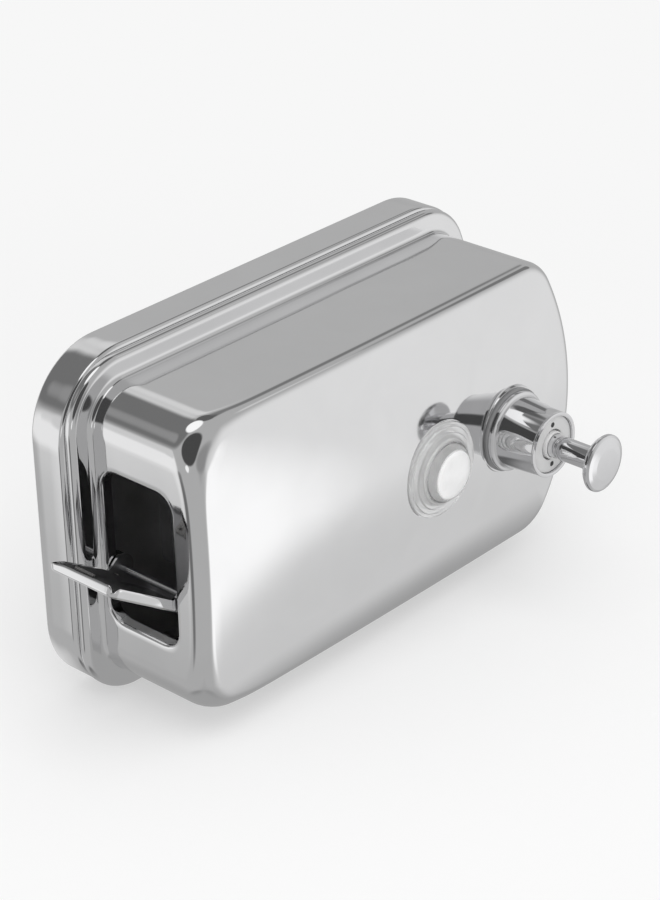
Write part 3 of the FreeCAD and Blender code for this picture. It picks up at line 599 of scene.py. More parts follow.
def clear_plastic():
    """Clear acrylic with faint moulding ripples."""
    material, tree, shader = node_material("clear_acrylic")
    shader.inputs["Transmission Weight"].default_value = 1.0
    shader.inputs["IOR"].default_value = ACRYLIC_IOR
    tint(tree, shader, noise(tree, 80, 2), (0.93, 0.95, 0.95), (1.0, 1.0, 1.0))
    gloss(tree, shader, noise(tree, 160, 3), 0.01, 0.05)
    bump(tree, shader, noise(tree, 260, 2), 0.15, 0.00005)
    return material


def window_acrylic():
    """The same acrylic, worn on the lens's face so that it is milky there."""
    material, tree, shader = node_material("window_acrylic")
    shader.inputs["IOR"].default_value = ACRYLIC_IOR
    place = add_node(tree, "TexCoord")
    flat = add_node(tree, "VectorMath", {0: place.outputs["Object"], 1: (1, 0, 1)}, operation="MULTIPLY")
    across = maths(tree, "VectorMath", "DISTANCE", flat, (0, 0, WINDOW_Z * MM))
    share = maths(tree, "Math", "DIVIDE", across, LENS_WIDEST * MM)
    for socket, stops in (("Transmission Weight", LENS_CLEAR), ("Roughness", LENS_ROUGH)):
        ramp = add_node(tree, "ValToRGB", {"Fac": share})
        elements = ramp.color_ramp.elements
        while len(elements) < len(stops):
            elements.new(1.0)
        for element, (radius, value) in zip(elements, stops):
            element.position = radius / LENS_WIDEST
            element.color = grey(value)
        tree.links.new(ramp.outputs["Color"], shader.inputs[socket])
    tint(tree, shader, noise(tree, 220, 3), (0.90, 0.90, 0.90), (0.98, 0.98, 0.98))
    bump(tree, shader, noise(tree, 260, 2), 0.15, 0.00005)
    return material


# Each node's material slot. A finish has the name of its slot, but for the dull one inside the tank.
SLOTS = {part["node"]: part["material_slot"] for part in frame["record"]["subparts"]}

# Each finish: its darker and lighter tone, its roughness, and for metal its grain's scale and
# strength, with the grain's stretch and the depth of its waves if it has them.
METALS = {
    "polished_steel": ((0.825, 0.825, 0.83), (0.845, 0.845, 0.85), (0.045, 0.075), 700, 0.05,
                       (1, 1, 0.15), 0.00022),
    "chrome_plate": ((0.78, 0.78, 0.79), (0.83, 0.83, 0.84), (0.02, 0.05), 500, 0.06),
    "plain_steel": ((0.48, 0.48, 0.49), (0.58, 0.58, 0.59), (0.34, 0.48), 900, 0.35, (1, 1, 0.1)),
    "spring_steel": ((0.27, 0.265, 0.26), (0.36, 0.355, 0.35), (0.16, 0.28), 1500, 0.2),
    "tank_inside": ((0.82, 0.82, 0.825), (0.88, 0.88, 0.885), (0.50, 0.64), 600, 0.4)}
PLASTICS = {
    "grey_rubber": ((0.17, 0.17, 0.173), (0.21, 0.21, 0.213), (0.25, 0.36)),
    "black_rubber": ((0.018, 0.018, 0.019), (0.03, 0.03, 0.031), (0.45, 0.60)),
    "light_plastic": ((0.60, 0.60, 0.60), (0.68, 0.68, 0.68), (0.28, 0.38)),
    "white_plastic": ((0.74, 0.74, 0.72), (0.80, 0.80, 0.78), (0.30, 0.42))}
FINISHES = {name: metal(name, *values) for name, values in METALS.items()}
FINISHES.update({name: plastic(name, *values) for name, values in PLASTICS.items()})
FINISHES["clear_plastic"] = clear_plastic()
POLISHED = FINISHES["polished_steel"]
DULL = FINISHES["tank_inside"]


# ------------------------ tank front

def edge_round(outline):
    """For each outline point: its round's radius, the round's centre along Y and how far it sweeps."""
    rounds = []
    for x, z, nx, nz in outline:
        away = math.hypot(abs(x) - HALF + CORNER / 3, z - TOP + CORNER / 3)
        radius = EDGE + CORNER_EDGE * math.exp(-(away / CORNER_EDGE_REACH) ** 2)
        radius += TOP_EDGE * max(nz, 0.0) ** 2
        inset = radius
        for _ in range(4):
            here = front_y(x - nx * inset, z - nz * inset)
            near = front_y(x - nx * (inset - 0.5), z - nz * (inset - 0.5))
            slope = (near - here) / 0.5
            inset = radius - radius * slope / math.hypot(1, slope)
        here = front_y(x - nx * inset, z - nz * inset)
        centre = here + radius / math.hypot(1, slope)
        rounds.append((radius, centre, math.pi / 2 - math.atan(slope)))
    return rounds


def tank_front():
    """The drawn front: edge round, walls, flange with its bead, pressed seats and filler mouth."""
    outline, first_top, last_top = tank_outline(0.0)
    rounds = edge_round(outline)
    sheet = Sheet()
    steps = 12
    edge_rows = []
    for k in range(steps + 1):
        points = []
        for (x, z, nx, nz), (radius, centre, sweep) in zip(outline, rounds):
            a = sweep * k / steps
            inset = radius * (1 - math.cos(a))
            points.append((x - nx * inset, centre - radius * math.sin(a), z - nz * inset))
        edge_rows.append(sheet.add(points))
    sheet.skin(edge_rows)

    groove_top = -SEAM - GROOVE_ROUND
    wall_rows = [edge_rows[0]]
    for k in range(1, steps + 1):
        t = k / steps
        wall_rows.append(sheet.add([(x, centre * (1 - t) + groove_top * t, z)
                                    for (x, z, _, _), (_, centre, _) in zip(outline, rounds)]))
    for a, b in zip(wall_rows, wall_rows[1:]):
        sheet.bridge(a, b, skipped=range(first_top, last_top))

    profile = [(GROOVE_ROUND * (1 - c), groove_top + GROOVE_ROUND * s) for s, c in quarter(8)]
    profile.append((BEAD_REACH - BEAD_ROUND, -SEAM))
    profile += [(BEAD_REACH - BEAD_ROUND * (1 - s), -SEAM + BEAD_ROUND * (1 - c)) for s, c in quarter(10)]
    profile += [(BEAD_REACH, -TRAY_FRONT - 0.5), (BEAD_REACH - 0.15, -TRAY_FRONT - 0.12)]
    row = wall_rows[-1]
    for reach, depth in profile:
        row = sheet.extend(row, around_tank(outline, reach, depth))

    filler_mouth(sheet, wall_rows, first_top, last_top)
    front_face(sheet, edge_rows[-1])
    front = piece("tank_front", sheet, "front_shell", materials=[POLISHED, DULL], thickness=WALL,
                  sharp=35, facing=((0, -66, 40), (0, -1, 0)))
    lowest, highest = TOP - FILLER_RIM - 0.2, TOP - FILLER_FOLD - 0.1
    for face in front.data.polygons:
        x, y, z = face.center / MM
        if lowest < z < highest and abs(x) < HALF - CORNER and DULL_RIM[0] < y < DULL_RIM[1]:
            face.material_index = 1


def filler_mouth(sheet, wall_rows, first_top, last_top):
    """The flat end of the tank round the opening, and the opening's folded rim."""
    loop = [wall_rows[0][i] for i in range(first_top, last_top + 1)]
    loop += [r[last_top] for r in wall_rows[1:]]
    loop += [wall_rows[-1][i] for i in range(last_top - 1, first_top - 1, -1)]
    loop += [r[first_top] for r in wall_rows[-2:0:-1]]
    mouth = []
    for index in loop:
        x, y, _ = sheet.points[index]
        mouth.append(rounded_ray(FILLER_HALF + FILLER_FOLD, FILLER_HALF_DEPTH + FILLER_FOLD,
                                 FILLER_CORNER + FILLER_FOLD, math.atan2(y + FILLER_MIDDLE, x)))
    row = sheet.draw_in(loop, [(x, y - FILLER_MIDDLE, TOP) for x, y, _, _ in mouth], 7)
    folds = [(FILLER_FOLD * s, FILLER_FOLD * (1 - c)) for s, c in quarter(6)]
    folds += [(FILLER_FOLD, FILLER_FOLD + (FILLER_RIM - FILLER_FOLD) * k / 3) for k in range(1, 4)]
    for inset, drop in folds:
        row = sheet.extend(row, [(x - nx * inset, y - ny * inset - FILLER_MIDDLE, TOP - drop)
                                 for x, y, nx, ny in mouth])


def front_face(sheet, edge):
    """The arched front in two parts, one round each pressed seat."""
    split_z = (WINDOW_Z - WINDOW_SEAT_RADIUS + PUMP_Z + PUMP_SEAT_RADIUS) / 2
    count = len(edge)
    spots = [sheet.points[i] for i in edge]

    def at_split(side):
        return min(range(count), key=lambda i: abs(spots[i][2] - split_z) + (spots[i][0] * side < 0) * 500)

    def stretch(first, last):
        return [edge[i % count] for i in range(first, last + (count if last < first else 0))]

    left, right = at_split(-1), at_split(1)
    a, b = spots[left], spots[right]
    steps = 64
    chord = [edge[left]]
    chord += sheet.add([front_point(a[0] + (b[0] - a[0]) * k / steps, a[2] + (b[2] - a[2]) * k / steps)
                        for k in range(1, steps)])
    chord.append(edge[right])
    upper = stretch(right, left) + chord[:-1]
    lower = stretch(left, right) + chord[:0:-1]
    seated_part(sheet, upper, WINDOW_Z, WINDOW_SEAT_RADIUS, WINDOW_HOLE, 42)
    seated_part(sheet, lower, PUMP_Z, PUMP_SEAT_RADIUS, PUMP_HOLE, 30)


def seated_part(sheet, loop, centre, radius, hole, steps):
    """The front from a loop inwards to the seat's rim, down its wall and in to its hole."""
    rim = radius + SEAT_WALL * 1.25
    angles = [math.atan2(sheet.points[i][2] - centre, sheet.points[i][0]) for i in loop]
    row = loop
    for k in range(1, steps + 1):
        t = 1 - (1 - k / steps) ** 1.4
        row = sheet.extend(row, [front_point(sheet.points[i][0] * (1 - t) + rim * math.cos(g) * t,
                                             sheet.points[i][2] * (1 - t)
                                             + (centre + rim * math.sin(g)) * t)
                                 for i, g in zip(loop, angles)])
    reaches = [SEAT_WALL * k / 6 for k in range(6, -1, -1)]
    reaches += [-0.1, -0.4, (hole - radius) / 2, hole - radius]
    for reach in reaches:
        row = sheet.extend(row, [front_point((radius + reach) * math.cos(g),
                                             centre + (radius + reach) * math.sin(g))
                                 for g in angles])


# ------------------------ tray and seal

def tank_back():
    """The pressed tray: side, rounded front lip, flat back and the recess for the bracket."""
    outline, _, _ = tank_outline(TRAY_CORNER_GROWTH, corner_steps=24, side_steps=60, top_steps=40,
                                 bow_steps=60)
    profile = [(TRAY_REACH - TRAY_ROUND, -TRAY_FRONT)]
    profile += [(TRAY_REACH - TRAY_ROUND * (1 - s), -TRAY_FRONT + TRAY_ROUND * (1 - c))
                for s, c in quarter(8)]
    profile += [(TRAY_REACH, -8.0), (TRAY_REACH, -4.0), (TRAY_REACH, -TRAY_FOLD)]
    profile += [(TRAY_REACH - TRAY_FOLD * (1 - c), -TRAY_FOLD * (1 - s)) for s, c in quarter(5)]
    sheet = Sheet()
    row = sheet.add(around_tank(outline, TRAY_REACH - TRAY_LIP, -TRAY_FRONT))
    for reach, depth in profile:
        row = sheet.extend(row, around_tank(outline, reach, depth))

    mouth = []
    for index in row:
        x, _, z = sheet.points[index]
        mouth.append(rounded_ray(RECESS_HALF_X + RECESS_ROUND, RECESS_HALF_Z + RECESS_ROUND,
                                 RECESS_CORNER + RECESS_ROUND, math.atan2(z, x)))
    row = sheet.draw_in(row, [(x, 0.0, z) for x, z, _, _ in mouth], 8)
    folds = [(RECESS_ROUND * s, RECESS_ROUND * (1 - c)) for s, c in quarter(5)]
    folds.append((RECESS_ROUND, RECESS_DEPTH - RECESS_ROUND))
    folds += [(RECESS_ROUND + RECESS_ROUND * (1 - c), RECESS_DEPTH - RECESS_ROUND * (1 - s))
              for s, c in quarter(4)]
    for inset, drop in folds:
        row = sheet.extend(row, [(x - nx * inset, -drop, z - nz * inset) for x, z, nx, nz in mouth])
    for scale in (0.75, 0.5, 0.25):
        row = sheet.extend(row, [(x * scale, -RECESS_DEPTH, z * scale) for x, z, _, _ in mouth])
    sheet.fan(row, sheet.add([(0, -RECESS_DEPTH, 0)])[0])
    piece("tank_back", sheet, "back_tray", materials=[POLISHED, DULL], thickness=WALL, sharp=35,
          facing=((0, 0, 70), (0, 1, 0)))


def seam_gasket():
    """The soft seal between the flange and the tray's lip."""
    outline, _, _ = tank_outline(0.0, side_steps=40, top_steps=30, bow_steps=40)
    section = softened(ring(2.9, 5.35, -16.5, -TRAY_FRONT), 0.4, True, 3)
    sheet = Sheet()
    rows = [sheet.add(around_tank(outline, reach, depth)) for reach, depth in section]
    sheet.skin(rows + rows[:1])
    piece("seam_seal", sheet, "seam_gasket")


# ------------------------ filler flap

def on_flap(x, y, z):
    """From the flap's own frame, where it is shut, to where it stands open."""
    turn = Matrix.Rotation(LID_OPEN, 3, (0, -1, 0))
    return tuple(PIN + turn @ Vector((x, y, z)))


def lid_outline():
    """The flap's outline with normals; at the relief corner also how far round the corner it is."""
    near, far, tail = LID_NEAR_CORNER, LID_FAR_CORNER, LID_TAIL_CORNER

    def corner(x, y, radius, start):
        return arc_points(x, y, radius, start, start + 90, LID_CORNER_STEPS)

    rows = corner(LID_REACH - far, LID_SIDE - far, far, 0)
    rows += line_points((LID_REACH - far, LID_SIDE), (tail - LID_TAIL, LID_SIDE), (0, 1), 72)
    rows += corner(tail - LID_TAIL, LID_SIDE - tail, tail, 90)
    rows += line_points((-LID_TAIL, LID_SIDE - tail), (-LID_TAIL, tail - LID_SIDE), (-1, 0), 24)
    rows += corner(tail - LID_TAIL, tail - LID_SIDE, tail, 180)
    rows += line_points((tail - LID_TAIL, -LID_SIDE), (LID_REACH - near, -LID_SIDE), (0, -1), 72)
    first = len(rows)
    relief = corner(LID_REACH - near, near - LID_SIDE, near, 270)
    rows += relief
    rows += line_points((LID_REACH, near - LID_SIDE), (LID_REACH, LID_SIDE - far), (1, 0), 32)
    return [(*row, (i - first) / LID_CORNER_STEPS if 0 <= i - first < len(relief) else None)
            for i, row in enumerate(rows)]


def lip_bottom(x, y, relief):
    """How low the lip reaches: shallower towards the far free corner, notched at the near one, and
    with a round ear about the pin on both sides."""
    shallow = eased((x - 10) / (LID_REACH - 10)) * (0.1 + 0.2 * (1 + y / LID_SIDE))
    level = LID_TOP - LID_LIP + shallow
    level += LID_FAR_LIFT * eased(1 - math.hypot(x - LID_REACH, y - LID_SIDE) / LID_FAR_SPAN)
    if relief is not None:
        level += LID_NOTCH * math.exp(-((relief - 0.5) / LID_NOTCH_SPAN) ** 2)
    if abs(y) < LID_SIDE - 0.5 or abs(x) >= EAR + EAR_FILLET:
        return level
    ear = -math.sqrt(max(EAR * EAR - x * x, 0.0)) if abs(x) < EAR else 0.0
    return level + (ear - level) * eased((EAR + EAR_FILLET - abs(x)) / (EAR_FILLET + 0.3))


def flap():
    """The flap's pressed sheet: a plate with a folded lip that flares towards the free end."""
    outline = lid_outline()
    tilts = [LID_FLARE * eased((x - 8) / 8) for x, _, _, _, _ in outline]
    starts = [0.8 * (LID_LIP - LID_FOLD) * math.tan(tilt) for tilt in tilts]
    sheet = Sheet()
    plate = []
    steps = 9
    for k in range(steps):
        scale = 1 - k / steps
        points = []
        for (x, y, nx, ny, _), tilt, start in zip(outline, tilts, starts):
            inset = start + LID_FOLD * math.cos(tilt)
            points.append(on_flap(LID_MIDDLE + (x - nx * inset - LID_MIDDLE) * scale,
                                  (y - ny * inset) * scale, LID_TOP))
        plate.append(sheet.add(points))
    sheet.skin(plate)
    sheet.fan(plate[-1], sheet.add([on_flap(LID_MIDDLE, 0, LID_TOP)])[0])

    def loop(insets, levels):
        return [on_flap(x - nx * inset, y - ny * inset, level)
                for (x, y, nx, ny, _), inset, level in zip(outline, insets, levels)]

    row = plate[0]
    steps = 7
    for k in range(1, steps + 1):
        sweeps = [(math.pi / 2 - tilt) * k / steps for tilt in tilts]
        row = sheet.extend(row, loop([start + LID_FOLD * (math.cos(tilt) - math.sin(sweep))
                                      for start, tilt, sweep in zip(starts, tilts, sweeps)],
                                     [LID_TOP - LID_FOLD * (1 - math.cos(sweep)) for sweep in sweeps]))
    tops = [LID_TOP - LID_FOLD * (1 - math.sin(tilt)) for tilt in tilts]
    ends = [min(lip_bottom(x, y, relief), top - 0.1) for (x, y, _, _, relief), top in zip(outline, tops)]
    steps = 10
    for k in range(1, steps + 1):
        share = k / steps
        curl = max(share - 0.7, 0.0) / 0.3
        lean = max(1 - share / 0.8, 0.0) + 0.35 * curl * curl
        row = sheet.extend(row, loop([start * lean for start in starts],
                                     [top + (end - top) * share for top, end in zip(tops, ends)]))
    outwards = Vector(on_flap(0, 0, 1)) - PIN
    piece("filler_flap", sheet, "filler_lid", "flap", materials=[POLISHED, FINISHES["plain_steel"]],
          thickness=WALL, sharp=35, facing=(on_flap(LID_MIDDLE, 2, LID_TOP), tuple(outwards)))


def flap_latch():
    """The sprung leaf inside the flap's free edge, with its rolled nose and two rivets."""
    x0 = LID_REACH - WALL - 0.45
    under = LID_TOP - WALL - 0.3
    line = softened([(x0 - 6.0, under), (x0 - 0.6, under), (x0 - 0.2, 2.6), (x0 + 0.3, 1.4),
                     (x0 - 0.1, 0.95), (x0 - 0.8, 1.3)], 0.6, False, 5)
    half_width = 3.9
    sheet = Sheet()
    sheet.skin([sheet.add([on_flap(x, half_width * (k / 3 - 1), z) for k in range(7)])
                for x, z in line], closed=False)
    piece("latch_leaf", sheet, "lid_latch", "flap", thickness=0.35, sharp=40)
    dome = ((0.0, 0.75), (0.5, 0.68), (0.85, 0.45), (1.0, 0.0), (0.0, 0.0))
    for k, y in enumerate((-2.2, 2.2)):
        sheet = Sheet()
        sheet.skin([sheet.add([on_flap(x0 - 4.0 + radius * math.cos(TAU * j / 20),
                                       y + radius * math.sin(TAU * j / 20),
                                       under - 0.25 - rise)
                               for j in range(20)])
                    for radius, rise in dome])
        piece("latch_rivet_%d" % (k + 1), sheet, body="flap", slot="spring_steel")


def hinge_pin():
    """The pin through both eyes, its ends peened to low domes."""
    dome = ((0.0, 0.8), (1.0, 0.78), (1.55, 0.55), (1.8, 0.2), (1.8, 0.0), (PIN_RADIUS, 0.0))
    profile = [(radius, PIN_FRONT - rise) for radius, rise in dome]
    profile += [(radius, PIN_BACK + rise) for radius, rise in dome[::-1]]
    lathe("hinge_rod", profile, PIN, "hinge_pin", materials=[FINISHES["chrome_plate"]], soft=0.08,
          turns=48)


def pin_eyes():
    """The two tabs under the tank's end that carry the pin."""
    rise = 4.9
    outline = [(-PIN_EYE, rise), (-PIN_EYE, 0.0)]
    outline += [(PIN_EYE * math.cos(math.radians(a)), PIN_EYE * math.sin(math.radians(a)))
                for a in range(195, 361, 15)]
    outline.append((PIN_EYE, rise))
    for label, front in (("front", PIN_FRONT), ("back", PIN_BACK - WALL)):
        sheet = Sheet()
        near, far = [sheet.add([(PIN.x + x, y, PIN.z + z) for x, z in outline])
                     for y in (front, front + WALL)]
        sheet.bridge(near, far)
        sheet.faces.append(tuple(near))
        sheet.faces.append(tuple(far[::-1]))
        piece("pin_eye_" + label, sheet, slot="polished_steel", materials=[DULL])


def flap_spring():
    """The torsion spring: one end under the tank's end, the coil round the pin, one leg in the flap."""
    radius, back, length, turns, leg = 4.1, -17.9, 2.4, 2.75, 4.0
    path = [(radius, back, 4.7 - 4.7 * k / 8) for k in range(8)]
    steps = int(turns * 32)
    for k in range(steps + 1):
        a = -TAU * turns * k / steps
        path.append((radius * math.cos(a), back - length * k / steps, radius * math.sin(a)))
    x, y, z = path[-1]
    path += [(x, y - leg * k / 9, z) for k in range(1, 10)]
    path = [(PIN.x + x, y, PIN.z + z) for x, y, z in path]
    coil = wire("flap_spring", path, 0.3, "lid_spring")
    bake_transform(coil)


# ------------------------ window and pump

def window():
    """The stepped clear lens, and the seal and ring nut that hold it from inside."""
    seat = -WINDOW_SEAT
    rest = seat + 0.12
    lens = [(0.0, seat - 6.8), (4.0, seat - 6.72), (7.0, seat - 6.45), (8.6, seat - 6.0, 0.7),
            (9.5, seat - 5.0, 0.5), (9.9, seat - 3.6, 0.4), (11.2, seat - 3.3, 0.3),
            (11.5, seat - 2.6, 0.3), (13.0, seat - 2.4, 0.3), (13.4, seat - 1.8, 0.3),
            (14.9, seat - 1.6, 0.3), (15.2, seat - 1.1, 0.25), (16.4, seat - 1.0, 0.4),
            (16.4, rest), (11.85, rest), (11.85, seat + 8.2), (9.4, seat + 8.2),
            (9.4, seat - 1.3, 0.6), (0.0, seat - 1.3)]
    lathe("window_dome", lens, WINDOW_AT, "window_lens", materials=[window_acrylic()], soft=0.12,
          turns=160, sharp=50)
    lathe("window_seal", ring(12.0, 15.0, seat + 2.8, seat + 4.2), WINDOW_AT, "window_gasket",
          soft=0.3, turns=80)
    lathe("window_ring_nut", ring(12.0, 15.0, seat + 4.2, seat + 8.2), WINDOW_AT, "window_nut",
          soft=0.4, turns=80)


def pump_outside():
    """The chrome housing with its foot, the recessed cap, the bushing, and the grey foot seal."""
    base, end = -69.6, -86.4
    cap_front, cap_back = end + 0.8, end + 3.8
    gasket = [(8.2, base), (14.1, base, 0.2), (14.5, base + 0.4, 0.3), (14.5, -PUMP_SEAT, 0.1),
              (8.2, -PUMP_SEAT)]
    lathe("pump_foot_seal", gasket, PUMP_AT, "pump_gasket", turns=144)
    housing = [(7.98, base), (13.9, base, 0.1), (13.9, base - 1.3, 0.55), (12.9, base - 1.75, 0.25),
               (12.3, base - 2.2, 0.2), (11.2, end + 0.9, 0.5), (11.35, end + 0.4, 0.2),
               (11.35, end, 0.35), (9.98, end, 0.3), (9.98, cap_back), (7.98, cap_back)]
    lathe("pump_body", housing, PUMP_AT, "pump_housing", turns=160)
    cap = [(5.38, cap_front), (9.9, cap_front, 0.2), (9.9, cap_back), (5.38, cap_back)]
    lathe("pump_front_cap", cap, PUMP_AT, "pump_cap", turns=128)
    bushing = [(4.08, end - 0.3), (4.75, end - 0.3, 0.25), (4.8, end + 3.0, 0.1), (5.3, end + 3.0),
               (5.3, cap_back), (4.08, cap_back)]
    lathe("pump_rod_bushing", bushing, PUMP_AT, "rod_bushing", turns=96)
    lathe("pump_rod_seal", ring(4.08, 7.4, cap_back, BARREL_FRONT), PUMP_AT, "rod_seal", turns=64)
    socket = [(0.0, cap_front - 0.02), (0.65, cap_front - 0.02), (0.7, cap_front - 0.08),
              (0.9, cap_front - 0.06), (0.9, cap_front + 0.02), (0.0, cap_front + 0.02)]
    for k, x in enumerate((-7.2, 7.2)):
        lathe("cap_socket_%d" % (k + 1), socket, (x, 0, PUMP_Z), slot="light_plastic",
              materials=[FINISHES["black_rubber"]], soft=0, turns=24)


def plunger():
    """Knob and rod, which the thumb pushes, and the piston behind them."""
    back = -104.2
    shoulder, tip = -69.0, -67.0
    knob = [(0.0, -108.2), (3.0, -108.17), (5.5, -108.05), (7.6, -107.75), (8.9, -107.35, 0.5),
            (9.8, -106.8, 0.5), (9.8, -105.7, 0.5), (8.6, back - 0.2, 0.6), (5.0, back, 0.3),
            (0.0, back)]
    lathe("push_knob", knob, PUMP_AT, "knob", "plunger", soft=0.4, turns=144)
    rod = [(0.0, back), (ROD, back, 0.1), (ROD, -90.2, 0.2), (3.6, -90.2, 0.15), (3.6, -89.4, 0.15),
           (ROD, -89.4, 0.2), (ROD, shoulder), (3.0, shoulder), (3.0, tip), (0.0, tip)]
    lathe("push_rod", rod, PUMP_AT, "plunger_rod", "plunger", soft=0.1, turns=96)
    waist, valve = -64.5, -61.6
    body = [(3.0, shoulder), (5.05, shoulder), (5.05, waist), (PISTON, waist), (PISTON, waist + 1.0),
            (4.9, waist + 1.0), (4.9, waist + 3.0), (PISTON, waist + 3.0), (PISTON, -60.0),
            (1.3, -60.0), (1.3, valve), (2.4, valve), (2.4, tip), (3.0, tip)]
    lathe("piston_body", body, PUMP_AT, "piston", "plunger", turns=64)
    seal = [(4.9, waist + 1.0), (6.15, waist + 1.0, 0.4), (6.15, waist + 3.0, 0.4), (4.9, waist + 3.0)]
    lathe("piston_lip_seal", seal, PUMP_AT, "piston_seal", "plunger", turns=64)


def barrel():
    """The pump's plastic cylinder, its seal inside the tank, and the spout below."""
    flange = BARREL_FLANGE
    body = [(BARREL, BARREL_FRONT), (BARREL_OUTSIDE, BARREL_FRONT), (BARREL_OUTSIDE, flange),
            (12.6, flange), (12.6, flange + 2.5), (BARREL_OUTSIDE, flange + 2.5),
            (BARREL_OUTSIDE, -38.0), (2.5, -38.0), (2.5, -40.0), (BARREL, -40.0)]
    lathe("pump_cylinder", body, PUMP_AT, "pump_barrel", soft=0.3, turns=80)
    lathe("pump_cylinder_seal", ring(7.98, 12.6, flange - 1.4, flange), PUMP_AT, "barrel_gasket",
          soft=0.3, turns=80)
    lathe("spout_tube", ring(2.0, 3.2, PUMP_Z - 13.6, PUMP_Z - 7.98), (0.0, SPOUT_Y, 0.0), "spout",
          axis="Z", soft=0.35, turns=64)


def coil_path(radius, start, end, turns, per_turn=30):
    """A compression spring's line along Y, with its end turns closed up flat."""
    steps = int(turns * per_turn)
    path = []
    for k in range(steps + 1):
        t = k / steps
        share = t - math.sin(TAU * t) * 0.09
        a = TAU * turns * t
        path.append((radius * math.cos(a), start + (end - start) * share, PUMP_Z + radius * math.sin(a)))
    return path


def springs():
    """The pump's return spring and the light spring over the outlet ball."""
    spring = wire("pump_return_spring", coil_path(4.6, -40.45, -59.55, 5), 0.45, "return_spring")
    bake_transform(spring)
    low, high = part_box("outlet_spring")
    light = wire("outlet_ball_spring", coil_path(1.3, high.y / MM - 0.2, low.y / MM + 0.2, 3), 0.2,
                 "outlet_spring", around=10)
    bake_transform(light)


def inlet():
    """The two valve balls and the pick-up tube."""
    ball("outlet_valve_ball", "outlet_ball", "outlet_valve")
    ball("inlet_valve_ball", "inlet_ball", "inlet_valve")
    low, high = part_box("pickup_tube")
    lathe("pickup_pipe", ring(2.0, 3.0, low.z / MM, high.z / MM), (0.0, PICKUP_Y, 0.0), "pickup_tube",
          axis="Z", turns=64)


def carried_over():
    """Bodies whose CAD shape is right: they keep it and get a proper finish, with broken edges."""
    for name, thing in frame["nodes"].items():
        if thing.hide_render:
            continue
        for slot in thing.material_slots:
            slot.material = FINISHES[SLOTS[name]]
        weld = thing.modifiers.new("weld", "WELD")
        weld.merge_threshold = 1e-6
        edge = thing.modifiers.new("edge", "BEVEL")
        edge.width = 0.12 * MM
        edge.segments = 2
        edge.limit_method = "ANGLE"
        edge.angle_limit = math.radians(40)
        edge.harden_normals = False


# ------------------------ stage, light and camera

# Tones that a ray meets: the background that the camera sees, the light that falls on matt surfaces,
# the studio's plain wall in mirrors, and the floor's own colour and its shadow in the metal.
PALE = 0.93
PLAIN_LIGHT = 0.72
STUDIO_TONE = 0.46
FLOOR_TONE = 0.90
SHADOW_TONE = 0.38

# What mirrors show of the studio, as (direction, tone, angle where full, angle where gone): pale cards
# and dark flags, each laid over the ones before it.
PANELS = (
    ((0.55, 0.80, -0.10), 0.72, 5, 30),
    ((-0.55, 0.80, -0.15), 0.72, 5, 30),
    ((-0.20, -0.72, -0.66), 0.82, 14, 54),
    ((-0.42, -0.84, -0.34), 1.12, 9, 19),
    ((-0.68, -0.45, -0.57), 0.66, 1, 22),
    ((-0.44, -0.78, 0.45), 0.46, 20, 38),
    ((0.46, 0.60, -0.65), 0.48, 6, 16),
    ((0.69, 0.60, 0.40), 0.18, 28, 38),
    ((0.54, 0.60, 0.60), 0.30, 3, 12),
    ((-0.20, 0.62, 0.76), 0.92, 11, 23),
    ((0.06, 0.59, 0.80), 0.68, 4, 9),
    ((0.63, 0.60, -0.49), 0.74, 1, 11),
    ((-0.98, 0.03, 0.06), 0.14, 20, 30),
    ((0.93, 0.20, -0.29), 0.12, 14, 18),
    ((0.96, 0.13, 0.20), 1.1, 15, 19),
    ((0.54, -0.42, 0.72), 0.07, 26, 31),
    ((-0.04, -0.37, 0.93), 1.0, 5, 8),
    ((0.57, -0.23, -0.79), 0.20, 7, 11),
    ((0.71, -0.36, -0.60), 0.66, 1, 6),
    ((0.74, 0.22, -0.63), 0.20, 3, 13),
    ((-0.46, 0.22, 0.86), 0.16, 4, 12),
    ((0.12, -0.95, 0.28), 0.29, 10, 22))

# The floor, in metres: its half size, the gap under the tank, and how far out it fades to pale.
FLOOR_HALF = 8.0
FLOOR_GAP = 0.0004
FLOOR_FADE = (0.14, 0.42)
FLOOR_PALENESS = 0.45

# The shadow under the tank as mirrors show it, in metres: each axis's middle and half width, and the
# distances past its edge between which it fades.
SHADOW_BANDS = (("Y", -0.033, 0.033), ("Z", 0.0, 0.095))
SHADOW_FADE = (-0.004, 0.012)

# Soft square lamps, all aimed at the origin: name, place and size in metres, and power in watts.
LAMPS = (("key", (1.3, -0.5, 0.3), 1.2, 9), ("fill", (0.5, -1.4, 0.9), 1.4, 6))


def choose(tree, factor, first, second):
    """The first shader where the factor is 0, the second where it is 1, and a mix between."""
    return add_node(tree, "MixShader", {"Fac": factor, 1: first, 2: second})


def fade_over(tree, source, span, lowest=0.0):
    """A smooth rise to 1 as the source goes through a span, from the lowest value."""
    return add_node(tree, "MapRange", {"Value": source, "From Min": span[0], "From Max": span[1],
                                       "To Min": lowest}, interpolation_type="SMOOTHSTEP")


def studio_in_mirrors(tree):
    """The studio's colour in each direction: its plain wall, with the panels over it in order."""
    place = add_node(tree, "TexCoord")
    shade = None
    for direction, tone, full, gone in PANELS:
        aim = maths(tree, "VectorMath", "DOT_PRODUCT", place.outputs["Generated"],
                    Vector(direction).normalized())
        near = fade_over(tree, aim, (math.cos(math.radians(gone)), math.cos(math.radians(full))))
        mix = add_node(tree, "Mix", {"Factor": near}, data_type="RGBA")
        before, after = [socket for socket in mix.inputs if socket.type == "RGBA"]
        before.default_value = grey(STUDIO_TONE)
        after.default_value = grey(tone)
        if shade:
            tree.links.new(shade, before)
        shade = next(socket for socket in mix.outputs if socket.type == "RGBA")
    return shade


